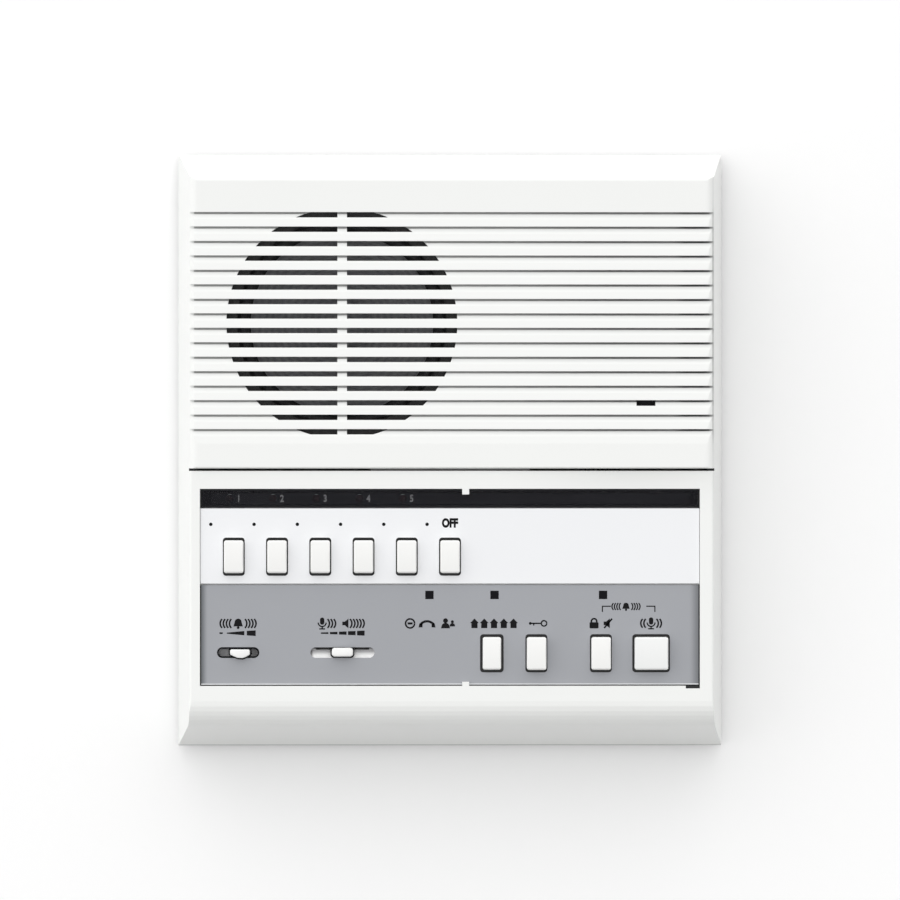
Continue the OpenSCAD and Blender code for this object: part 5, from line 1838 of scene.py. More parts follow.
@dataclass
class Loudspeaker:
    """Cone, surround, spider, magnet, tag strip and what holds them in the housing."""

    ridges: int = 5
    ridge: float = 0.2
    paper: float = 0.5

    def cone_profile(self, rim: float, top: float, neck: float) -> list[Point2]:
        """The cone's section: pressed rings on its outer half, and its former in the gap.

        Args:
            rim: Radius of the surround's outer edge.
            top: Height of the basket's flange.
            neck: Height at which the cone meets its former.

        Returns:
            Radius and height pairs, a closed loop.
        """
        steps = 44
        line = []
        for k in range(steps + 1):
            share = k / steps
            wave = 0.0
            if 0.4 < share < 0.9:
                wave = self.ridge * math.sin(2 * math.pi * self.ridges * (share - 0.4) / 0.5)
            bow = 0.5 * math.sin(math.pi * share)
            line.append((10.2 + (rim - 5.6 - 10.2) * share,
                         neck + 1 + (top - 2.7 - neck - 1) * share + wave - bow))
        under = [(r + 0.1, z - self.paper) for r, z in reversed(line)]
        return [*line, (rim - 5.2, top - 1.6), (rim - 4.8, top - 1.7), *under[:-1],
                (9.4, neck + 0.3), (9.4, neck - 3.4), (8.8, neck - 3.4), (8.8, neck + 0.8)]

    def surround_profile(self, rim: float, top: float) -> list[Point2]:
        """The half roll between cone and flange, with its glued lip; arguments as for the cone."""
        over = arc_points((rim - 3.0, top - 0.9), 1.7, 8, 172, 14)
        under = arc_points((rim - 3.0, top - 0.9), 1.25, 172, 8, 14)
        return [(rim - 0.45, top - 0.42), (rim - 0.45, top), *over, (rim - 5.0, top - 1.1),
                (rim - 5.5, top - 1.6), (rim - 5.45, top - 1.95), (rim - 4.6, top - 1.5), *under]

    def spider_profile(self, neck: float) -> list[Point2]:
        """The corrugated ring that centres the former; arguments as for the cone."""
        line = [(9.45 + 0.32 * k, neck - 1.2 + 0.45 * math.sin(k * 0.95)) for k in range(38)]
        return [*line, *[(r, z - 0.25) for r, z in reversed(line)]]

    def build(self) -> None:
        """Builds the moving parts, the magnet and the leads, and dresses the rest."""
        low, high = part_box("speaker_cone")
        centre = ((low.x + high.x) / 2, (low.y + high.y) / 2, 0.0)
        at = (centre[0] / MM, centre[1] / MM)
        rim = (high.x - low.x) / 2 / MM + 0.4
        top, neck = high.z / MM - 0.8, low.z / MM + 3.4
        pulp = Pulp("cone_pulp", "cone_paper", centre=at)
        settle("cone_body", revolved("cone_body", self.cone_profile(rim, top, neck), centre, 96), pulp, CASE,
               ["speaker_cone"], ROUND)
        settle("cone_surround", revolved("cone_surround", self.surround_profile(rim, top), centre, 96),
               Finishes.treated_cloth, CASE, sharp=ROUND)
        settle("cone_spider", revolved("cone_spider", self.spider_profile(neck), centre, 72),
               Finishes.spider_cloth, CASE, sharp=ROUND)
        dome = [(10.3, neck + 1.25), *arc_points((0.0, neck - 7.4), 13.6, 44, 90, 12)[1:],
                *arc_points((0.0, neck - 7.4), 13.2, 90, 46, 12), (10.1, neck + 0.95)]
        settle("dust_cap", revolved("dust_cap", dome, centre, 64), pulp, CASE, sharp=ROUND)
        self.magnet(centre)
        self.tags(at, neck)
        dress("speaker_basket", Finishes.basket_steel)
        dress("speaker_gasket", Finishes.gasket)
        dress("speaker_clamps", Finishes.zinc)

    def magnet(self, centre: Point3) -> None:
        """The ferrite ring between its steel plates; centre is the speaker's axis."""
        low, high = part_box("speaker_magnet")
        radius, z0, z1 = (high.x - low.x) / 2 / MM, low.z / MM, high.z / MM
        ring = [(10.5, z0 + 2.55), (radius - 0.7, z0 + 2.55), (radius - 0.2, z0 + 2.75), (radius, z0 + 3.3),
                (radius, z1 - 3.3), (radius - 0.2, z1 - 2.75), (radius - 0.7, z1 - 2.55), (10.5, z1 - 2.55)]
        settle("magnet_ring", revolved("magnet_ring", ring, centre, 72), Finishes.ferrite, CASE,
               ["speaker_magnet"])
        yoke = [(0.0, z0 + 0.6), (2.2, z0 + 0.6), (2.7, z0 + 0.15), (5.5, z0 + 0.15), (6.0, z0), (16.8, z0),
                (17.6, z0 + 0.35), (18.0, z0 + 1.1), (18.0, z0 + 2.5), (8.2, z0 + 2.5), (8.2, z1 - 0.3),
                (7.9, z1), (0.0, z1)]
        front = [(9.8, z1 - 2.5), (17.7, z1 - 2.5), (18.0, z1 - 2.2), (18.0, z1 - 0.3), (17.7, z1), (9.8, z1)]
        settle("magnet_plates", joined("magnet_plates", [revolved("yoke", yoke, centre, 64),
                                                         revolved("front_plate", front, centre, 64)]),
               Finishes.zinc, CASE)

    def tags(self, at: Point2, neck: float) -> None:
        """The tag strip on the basket, its solder tags, and the leads to the cone and the amplifier."""
        _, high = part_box("speaker_basket")
        x, y = high.x / MM - 2.6, at[1]
        strip = slab("tag_strip", rounded_outline(14.0, 7.6, 0.8), 0.0, 1.0)
        for vertex in strip.vertices:
            px, py, pz = vertex.co
            vertex.co = (x * MM + pz, y * MM + px, high.z - 5.1 * MM + py)
        settle("speaker_tag_strip", softened(strip, 0.12), Finishes.laminate, CASE)
        tags, leads, tinsel = [], [], []
        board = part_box("amplifier_board")
        z0 = high.z / MM
        for side in (-1, 1):
            outline = [(-1.3, -3.0), (1.3, -3.0), (1.3, 2.0), (0.8, 4.2), (-0.8, 4.2), (-1.3, 2.0)]
            tag = slab("tag", outline, 0.0, 0.45)
            for vertex in tag.vertices:
                px, py, pz = vertex.co
                vertex.co = ((x + 1.0) * MM + pz, (y + side * 3.8) * MM + px, (z0 - 6.2) * MM - py)
            tags.append(softened(tag, 0.08, 1))
            start = ((x + 1.25) * MM, (y + side * 3.8) * MM, (z0 - 9.6) * MM)
            end = (board[0].x + (5.0 + side * 1.2) * MM, (y + 4 + side * 1.6) * MM, board[1].z)
            route = [start, (start[0] + 1.2 * MM, start[1], start[2] - 5 * MM),
                     ((start[0] + end[0]) / 2, (start[1] + end[1]) / 2, end[2] + 9 * MM),
                     (end[0], end[1], end[2] + 4 * MM), (end[0], end[1], end[2] - 0.8 * MM)]
            colour = Finishes.wire_black if side < 0 else Finishes.wire_red
            leads.append(tubed("lead", colour, route, 0.65 * MM))
            inner = [((at[0] + 17) * MM, (y + side * 2.4) * MM, (neck + 3.4) * MM),
                     ((at[0] + 21) * MM, (y + side * 3.4) * MM, (neck + 1.8) * MM),
                     ((at[0] + 27) * MM, (y + side * 3.9) * MM, (neck + 3.6) * MM),
                     ((at[0] + 32.5) * MM, (y + side * 3.9) * MM, (neck + 7.2) * MM)]
            tinsel.append(tubed("tinsel", Finishes.copper, inner, 0.3 * MM, 6))
        settle("speaker_tags", joined("speaker_tags", tags), Finishes.tinned, CASE)
        settle("speaker_lead_black", leads[0], Finishes.wire_black, CASE, sharp=ROUND)
        settle("speaker_lead_red", leads[1], Finishes.wire_red, CASE, sharp=ROUND)
        settle("cone_tinsel", joined("cone_tinsel", tinsel), Finishes.copper, CASE, sharp=ROUND)


@dataclass
class Microphone:
    """The capsule in its boot, behind a felt disc."""

    def build(self) -> None:
        """Builds felt, pads and leads, and dresses capsule and boot."""
        dress("microphone_boot", Finishes.boot_rubber)
        dress("microphone_capsule", Finishes.bare_aluminium)
        low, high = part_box("microphone_capsule")
        centre = ((low.x + high.x) / 2, (low.y + high.y) / 2, 0.0)
        top = high.z / MM
        disc = [(0.0, top + 0.02), (3.3, top + 0.02), (3.42, top + 0.3), (3.2, top + 0.62), (0.0, top + 0.66)]
        settle("microphone_felt", revolved("microphone_felt", disc, centre, 40, False), Finishes.felt, CASE)
        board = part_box("amplifier_board")[1].z
        leads = []
        for side in (-1, 1):
            x = centre[0] + side * 1.3 * MM
            route = [(x, centre[1], low.z + 0.1 * MM),
                     (x + side * 0.5 * MM, centre[1] - 0.6 * MM, low.z - 3 * MM),
                     (x + side * 0.9 * MM, centre[1] + 1.8 * MM, (low.z + board) / 2),
                     (x, centre[1] + 3 * MM, board + 3 * MM), (x, centre[1] + 3 * MM, board - 0.5 * MM)]
            leads.append(tubed("lead", Finishes.wire_black, route, 0.5 * MM, 8))
        pads = [(centre[0] + side * 1.3 * MM, centre[1], low.z) for side in (-1, 1)]
        plant("microphone_pads", Finishes.solder, solder_bead(0.9), pads)
        settle("microphone_leads", joined("microphone_leads", leads), Finishes.wire_black, CASE, sharp=ROUND)


def solder_bead(radius: float = 0.95) -> bpy.types.Mesh:
    """A solder joint that hangs from height zero; radius in millimetres."""
    profile = [(radius, 0.02), (radius * 0.96, -0.1), (radius * 0.6, -0.45), (radius * 0.38, -0.95),
               (radius * 0.3, -1.25), (0.0, -1.3)]
    return revolved("solder_bead", [(0.0, 0.02), *profile], ORIGIN, 10, False)


def pin_part(width: float, low: float, high: float) -> bpy.types.Mesh:
    """A flat pin with a pointed foot, about the origin; sizes in millimetres."""
    half = width / 2
    outline = [(-half, high), (-half, low + 0.6), (-half * 0.4, low), (half * 0.4, low),
               (half, low + 0.6), (half, high)]
    made = slab("pin", outline, -0.22, 0.22)
    for vertex in made.vertices:
        vertex.co = (vertex.co.x, vertex.co.z, vertex.co.y)
    clean(made)
    return made


def pad_at(x: float, y: float) -> Point2:
    """A pad's place, to a hundredth of a millimetre."""
    return round(x, 2), round(y, 2)


def bent_legs(route: Sequence[Point2], radius: float, sides: Sequence[int] = (-1, 1)) -> bpy.types.Mesh:
    """The tinned leads of a small part, on each of its sides.

    Args:
        route: Places along X and Z that a lead passes, in millimetres.
        radius: A lead's radius, in millimetres.
        sides: Signs, or shares, that the places along X are taken with.

    Returns:
        The mesh.
    """
    return joined("legs", [tubed("leg", Finishes.tinned, [(side * x * MM, 0, z * MM) for x, z in route],
                                 radius * MM, 6, 3) for side in sides])


@dataclass
class Wiring:
    """The underside of a board: solder joints and the tracks between them."""

    name: str
    board: str
    pads: list[Point2] = field(default_factory=list)
    width: float = 1.3
    near: float = 13.0

    def track(self, first: Point2, second: Point2) -> bpy.types.Mesh:
        """A track between two pads."""
        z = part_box(self.board)[0].z / MM
        return slab("track", stroke([first, second], self.width), z - 0.05, z + 0.02)

    def build(self) -> None:
        """Lays the tracks along rows and columns, a rim round the board, and the joints."""
        low, high = box_mm(self.board)
        rows: dict[int, list[Point2]] = {}
        columns: dict[int, list[Point2]] = {}
        for pad in sorted(set(self.pads)):
            rows.setdefault(round(pad[1] * 2), []).append(pad)
            columns.setdefault(round(pad[0] * 2), []).append(pad)
        tracks = []
        for number, row in enumerate(rows.values()):
            for k, (first, second) in enumerate(zip(row, row[1:])):
                if second[0] - first[0] < self.near and (k + number) % 2:
                    tracks.append(self.track(first, second))
        for number, column in enumerate(columns.values()):
            for k, (first, second) in enumerate(zip(column, column[1:])):
                if abs(second[1] - first[1]) < self.near and (k + number) % 3 != 1:
                    tracks.append(self.track(first, second))
        rim = [(low.x + 2, low.y + 2), (high.x - 2, low.y + 2), (high.x - 2, high.y - 2),
               (low.x + 2, high.y - 2)]
        tracks += [self.track(rim[k], rim[(k + 1) % 4]) for k in range(4)]
        lands = [arc_points(pad, 1.25, 0, 360, 10)[:-1] for pad in self.pads]
        tracks += [slab("land", land, low.z - 0.06, low.z + 0.02) for land in lands]
        settle(self.name + "_tracks", joined("tracks", tracks), Finishes.track, CASE)
        spots = [(x * MM, y * MM, low.z * MM) for x, y in self.pads]
        plant(self.name + "_joints", Finishes.solder, solder_bead(), spots, sharp=ROUND, jitter=3.0)


@dataclass
class Amplifier:
    """The amplifier board with its transformer, heat sink, capacitors and small parts.

    Places are in millimetres from the board's lower left corner.
    """

    resistors: tuple[tuple[float, float, int], ...] = (
        (48, 22, 0), (48, 26, 0), (48, 30, 0), (48, 34, 0), (62, 22, 1), (66, 22, 1),
        (12, 62, 0), (12, 66, 0), (12, 70, 0), (28, 76, 0), (28, 80, 0), (28, 84, 0),
        (40, 70, 1), (44, 70, 1), (76, 26, 1), (30, 16, 0), (12, 20, 1))
    discs: tuple[tuple[float, float, int], ...] = (
        (50, 40, 0), (58, 40, 0), (66, 40, 1), (34, 54, 0), (24, 60, 1), (52, 16, 0), (74, 34, 1))
    transistors: tuple[Point2, ...] = ((20, 54), (34, 62), (44, 84), (52, 84), (66, 34))
    films: tuple[tuple[float, float, int], ...] = ((58, 84, 0), (72, 18, 0), (40, 52, 0))
    chip: Point2 = (48.0, 60.0)

    def __post_init__(self) -> None:
        """Reads the board's box."""
        low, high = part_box("amplifier_board")
        self.corner = low / MM
        self.top = high.z / MM
        self.pads: list[Point2] = []

    def on(self, x: float, y: float, z: float = 0.0) -> Point3:
        """A place on the board in metres, z above its surface."""
        return ((self.corner.x + x) * MM, (self.corner.y + y) * MM, (self.top + z) * MM)

    def spots(self, table: Sequence[tuple[float, float, int]],
              reach: float) -> tuple[list[Point3], list[float]]:
        """Places and turns of a table's parts; their pads are noted.

        Args:
            table: Place, and 1 where the part is turned a quarter.
            reach: Distance of its pads from its middle.

        Returns:
            Places in metres, and turns in radians.
        """
        for x, y, turned in table:
            for side in (-reach, reach):
                pad = (x, y + side) if turned else (x + side, y)
                self.pads.append(pad_at(self.corner.x + pad[0], self.corner.y + pad[1]))
        return [self.on(x, y) for x, y, _ in table], [math.pi / 2 * turned for _, _, turned in table]

    def axial(self) -> None:
        """The banded resistors and their bent leads."""
        places, turns = self.spots(self.resistors, 5.08)
        profile = [(0.0, -3.3), (0.75, -3.25), (1.2, -2.9), (1.25, -2.2), (1.02, -1.7), (1.0, 0.0),
                   (1.02, 1.7), (1.25, 2.2), (1.2, 2.9), (0.75, 3.25), (0.0, 3.3)]
        body = revolved("resistor", profile, ORIGIN, 14, False)
        for vertex in body.vertices:
            vertex.co = (vertex.co.z, vertex.co.y, 1.5 * MM - vertex.co.x)
        along = body.attributes.new("along", "FLOAT", "POINT")
        along.data.foreach_set("value", [v.co.x / MM / 6.6 + 0.5 for v in body.vertices])
        clean(body)
        plant("resistors", Finishes.resistor, body, places, turns, sharp=ROUND, seed=5, keep_code=True)
        legs = bent_legs(((3.2, 1.5), (4.5, 1.5), (5.08, 0.9), (5.08, -2.2)), 0.3)
        plant("resistor_leads", Finishes.tinned, legs, places, turns, sharp=ROUND)

    def small_parts(self) -> None:
        """Ceramic discs, transistors and film capacitors."""
        places, turns = self.spots(self.discs, 2.54)
        coin = revolved("disc", [(0.0, -1.1), (1.8, -1.05), (3.0, -0.7), (3.35, 0.0), (3.0, 0.7), (1.8, 1.05),
                                 (0.0, 1.1)], ORIGIN, 20, False)
        for vertex in coin.vertices:
            vertex.co = (vertex.co.x, vertex.co.z, 4.6 * MM + vertex.co.y)
        clean(coin)
        plant("ceramic_discs", Finishes.ceramic, coin, places, turns, sharp=ROUND, jitter=0.12, seed=7)
        legs = bent_legs(((1.6, 2.2), (2.54, 1.2), (2.54, -2.2)), 0.28)
        plant("disc_leads", Finishes.tinned, legs, places, turns, sharp=ROUND)
        three = [(x, y, 0) for x, y in self.transistors]
        places, turns = self.spots(three, 1.27)
        outline = arc_points((0.0, 0.0), 2.3, -35, 215, 14)
        body = softened(slab("transistor", outline, 3.0, 7.4), 0.15, 1, ROUND)
        plant("transistors", Finishes.epoxy, body, places, turns, jitter=0.1, seed=11)
        legs = bent_legs(((0.9, 3.1), (1.27, 1.6), (1.27, -2.2)), 0.24, (-1, 0, 1))
        plant("transistor_leads", Finishes.tinned, legs, places, turns, sharp=ROUND)
        places, turns = self.spots(self.films, 5.0)
        box = softened(slab("film", rounded_outline(12.4, 4.6, 0.4), 0.1, 8.6), 0.35)
        plant("film_capacitors", Finishes.film, box, places, turns)

    def chip_and_pins(self) -> None:
        """A fourteen pin amplifier in its moulded body."""
        x, y = self.chip
        outline = [(-9.4, -3.1), (9.4, -3.1), (9.4, 3.1), (-9.4, 3.1), (-9.4, 0.8), (-8.7, 0.55), (-8.5, 0.0),
                   (-8.7, -0.55), (-9.4, -0.8)]
        middle = (self.corner.x + x, self.corner.y + y)
        halves = [slab("chip", outline, self.top + 2.4, self.top + 4.0, middle, 1.0),
                  slab("chip", outline, self.top + 2.4, self.top + 0.7, middle, 1.0)]
        settle("amplifier_chip", softened(joined("chip", halves), 0.2, 1), Finishes.epoxy, CASE)
        leg = [(0.0, 3.0, 2.4), (0.0, 3.8, 2.4), (0.0, 3.85, 0.4), (0.0, 3.85, -2.2)]
        legs = [tubed("leg", Finishes.tinned, [(px * MM, s * py * MM, pz * MM) for px, py, pz in leg],
                      0.3 * MM, 6, 2) for s in (-1, 1)]
        places = [self.on(x - 7.62 + 2.54 * k, y) for k in range(7)]
        self.pads += [pad_at(self.corner.x + x - 7.62 + 2.54 * k, self.corner.y + y + s * 3.85)
                      for k in range(7) for s in (-1, 1)]
        plant("chip_pins", Finishes.tinned, joined("legs", legs), places, sharp=ROUND)

    def cans(self) -> None:
        """The electrolytic cans, each with its crimp, sleeve and scored top."""
        groups: dict[tuple[float, float], list[Point3]] = {}
        for low, high in solids_of("capacitors"):
            size = (round((high.x - low.x) / 2, 1), round(high.z - low.z, 1))
            foot = ((low.x + high.x) / 2 * MM, (low.y + high.y) / 2 * MM, low.z * MM)
            groups.setdefault(size, []).append(foot)
        for number, ((r, h), places) in enumerate(groups.items(), 1):
            for place in places:
                self.pads += [pad_at(place[0] / MM + s * r * 0.4, place[1] / MM) for s in (-1, 1)]
            skin = [(0.0, 0.05), (r - 0.9, 0.05), (r - 0.35, 0.3), (r, 0.9), (r, 1.3), (r - 0.35, 1.75),
                    (r, 2.2), (r, h - 0.7), (r - 0.25, h - 0.2), (r - 0.75, h), (r - 1.0, h - 0.1),
                    (r - 1.05, h - 0.4), (0.0, h - 0.4)]
            can = set_turns(revolved("can", skin, ORIGIN, 36, False))
            turns = [2.2 * k + number for k in range(len(places))]
            plant(f"capacitor_sleeves_{number}", Finishes.sleeve, can, places, turns, ["capacitors"])
            top = [(0.0, h - 0.42), (r - 1.1, h - 0.42), (r - 1.1, h - 0.25), (r - 1.35, h - 0.16),
                   (0.0, h - 0.16)]
            lid = carved(revolved("lid", top, ORIGIN, 28, False),
                         slab("score", plus_outline(r - 1.7, 0.16), h - 0.27, h + 0.3))
            plant(f"capacitor_lids_{number}", Finishes.bare_aluminium, lid, places, turns)

    def transformer(self) -> None:
        """Interleaved core plates round a wound and taped bobbin."""
        low, high = box_mm("transformer_core")
        middle = (low + high) / 2
        w, h, yoke, leg = high.x - low.x, high.y - low.y, 4.8, 4.1
        half, inner = w / 2, w / 2 - 5.3
        near, far = -h / 2 + yoke, h / 2 - yoke
        ee = [(-half, -h / 2), (half, -h / 2), (half, far), (inner, far), (inner, near), (leg, near),
              (leg, far), (-leg, far), (-leg, near), (-inner, near), (-inner, far), (-half, far)]
        bar = [(-half, h / 2 - yoke + 0.06), (half, h / 2 - yoke + 0.06), (half, h / 2), (-half, h / 2)]
        plate = joined("plate", [slab("ee", ee, 0.0, 0.46), slab("bar", bar, 0.0, 0.46)])
        count = int((high.z - low.z) / 0.5)
        places = [(middle.x * MM, middle.y * MM, (low.z + 0.5 * k) * MM) for k in range(count)]
        turns = [math.pi * (k % 2) for k in range(count)]
        plant("core_plates", Finishes.core_steel, plate, places, turns, ["transformer_core"])
        low, high = box_mm("transformer_coil")
        self.winding(low, high, middle)

    def winding(self, low: Vector, high: Vector, core: Vector) -> None:
        """The bobbin, its wire, its tape and its pins.

        Args:
            low: Lowest corner of the coil's box, in millimetres.
            high: Its highest corner.
            core: The core's middle.
        """
        wide, z0, z1 = (high.x - low.x) / 2, low.z, high.z
        outline = rounded_outline(2 * wide - 0.5, z1 - z0 - 2.2, 2.0, 6)
        middle_z = (z0 + z1) / 2

        def sleeve(name: str, grow: float, start: float, end: float, ridges: float) -> bpy.types.Mesh:
            """A shell round the core's leg, from start to end along Y, with a wire's ridges."""
            steps = max(2, int((end - start) / 0.1))
            points, faces, count = [], [], len(outline)
            for k in range(steps + 1):
                y = start + (end - start) * k / steps
                swell = grow + ridges * abs(math.sin(math.pi * (y - start) / 0.5))
                for x, z in outline:
                    size = math.hypot(x, z)
                    points.append(((core.x + x * (1 + swell / size)) * MM, (core.y + y) * MM,
                                   (middle_z + z * (1 + swell / size)) * MM))
            for k in range(steps):
                faces += [(k * count + j, k * count + (j + 1) % count, (k + 1) * count + (j + 1) % count,
                           (k + 1) * count + j) for j in range(count)]
            faces += [tuple(range(count)), tuple(range(steps * count, (steps + 1) * count))]
            return mesh_of(name, points, faces)

        settle("transformer_winding", sleeve("winding", -0.3, -6.1, 6.1, 0.22), Finishes.copper, CASE,
               ["transformer_coil"], 75.0)
        settle("winding_tape", sleeve("tape", 0.02, -3.9, 3.9, 0.0), Finishes.tape, CASE)
        flange = rounded_outline(2 * wide, z1 - z0 - 0.4, 0.5)
        walls = []
        for side in (-1, 1):
            wall = slab("flange", flange, 0.0, 0.8)
            for vertex in wall.vertices:
                x, z, y = vertex.co
                vertex.co = (x + core.x * MM, y + (core.y + side * 6.55 - 0.4) * MM, z + middle_z * MM)
            clean(wall)
            walls.append(softened(wall, 0.15, 1))
        feet = [slab("foot", rounded_outline(2 * wide, 2.4, 0.3), z0, z0 + 1.4, (core.x, core.y + s * 6.0))
                for s in (-1, 1)]
        settle("bobbin", joined("bobbin", walls + feet), Finishes.bobbin, CASE)
        pins = [((core.x + x) * MM, (core.y + s * 6.4) * MM, z0 * MM)
                for x in (-6.0, -2.0, 2.0, 6.0) for s in (-1, 1)]
        self.pads += [pad_at(x / MM, y / MM) for x, y, _ in pins]
        plant("bobbin_pins", Finishes.tinned, pin_part(0.7, -2.2, 1.0), pins)

    def cooler(self) -> None:
        """The extruded heat sink with a power device screwed to it."""
        low, high = box_mm("heat_sink")
        back = low.y + 4.0
        fins, wide = 7, high.x - low.x
        outline = [(0.0, 0.0), (wide, 0.0)]
        for k in reversed(range(fins)):
            x = k * (wide - 1.4) / (fins - 1)
            outline += [(x + 1.4, 8.7), (x + 1.1, 9.0), (x + 0.3, 9.0), (x, 8.7)]
            if k:
                outline += [(x, 2.7), (x - 0.3, 2.4), (x - 2.7, 2.4), (x - 3.0, 2.7)]
        body = slab("sink", outline, low.z, high.z, (low.x, back))
        settle("heat_sink_body", softened(body, 0.12, 1, ROUND), Finishes.bare_aluminium, CASE, ["heat_sink"])
        x = low.x + 14.0
        case = slab("device", [(-5.0, -4.3), (5.0, -4.3), (5.0, -1.3), (-5.0, -1.3)],
                    low.z + 2.4, low.z + 11.0, (x, back))
        settle("power_device", softened(case, 0.3, 2), Finishes.epoxy, CASE)
        tab = slab("tab", [(-5.0, -1.3), (5.0, -1.3), (5.0, -0.02), (-5.0, -0.02)],
                   low.z + 2.6, low.z + 16.6, (x, back))
        settle("device_tab", softened(tab, 0.2, 1), Finishes.tinned, CASE)
        legs = [(x + 2.54 * k, back - 2.6) for k in (-1, 0, 1)]
        self.pads += [pad_at(*leg) for leg in legs]
        plant("device_legs", Finishes.tinned, pin_part(0.9, -2.2, 2.8),
              [(px * MM, py * MM, low.z * MM) for px, py in legs])
        screw = Screw(pan_head(2.6, 1.5, 1.3), 1.3, 3.0).mesh("tab_screw")
        for vertex in screw.vertices:
            px, py, pz = vertex.co
            vertex.co = (px + x * MM, pz + (back - 1.3) * MM, -py + (low.z + 14.0) * MM)
        settle("tab_screw", screw, Finishes.screw_zinc, CASE)

    def build(self) -> None:
        """Fills the board."""
        dress("amplifier_board", Finishes.laminate)
        self.axial()
        self.small_parts()
        self.chip_and_pins()
        self.cans()
        self.transformer()
        self.cooler()
        terminals = [((low.x + high.x) / 2, high.y + 1.6) for low, high in solids_of("terminal_screws")]
        self.pads += [pad_at(*terminal) for terminal in terminals]
        dress("terminal_block", Finishes.terminal_green)
        keep = [pad for pad in self.pads if pad[1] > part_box("terminal_block")[1].y / MM + 1.5]
        Wiring("amplifier_board", "amplifier_board", keep).build()
        self.numbers()

    def numbers(self) -> None:
        """Plain numbers by the terminals, read from behind."""
        low, high = box_mm("terminal_block")
        marks = []
        for number, (start, end) in enumerate(reversed(solids_of("terminal_screws")), 1):
            figure = Press().letters(str(number), 1.7, 0.0, (0.0, 0.0))
            for vertex in figure.vertices:
                x, y, z = vertex.co
                vertex.co = (-x + (start.x + end.x) / 2 * MM, y + (high.y - 1.5) * MM, low.z * MM - z)
            clean(figure)
            marks.append(figure)
        settle("terminal_numbers", joined("terminal_numbers", marks), Finishes.ink_white, CASE)


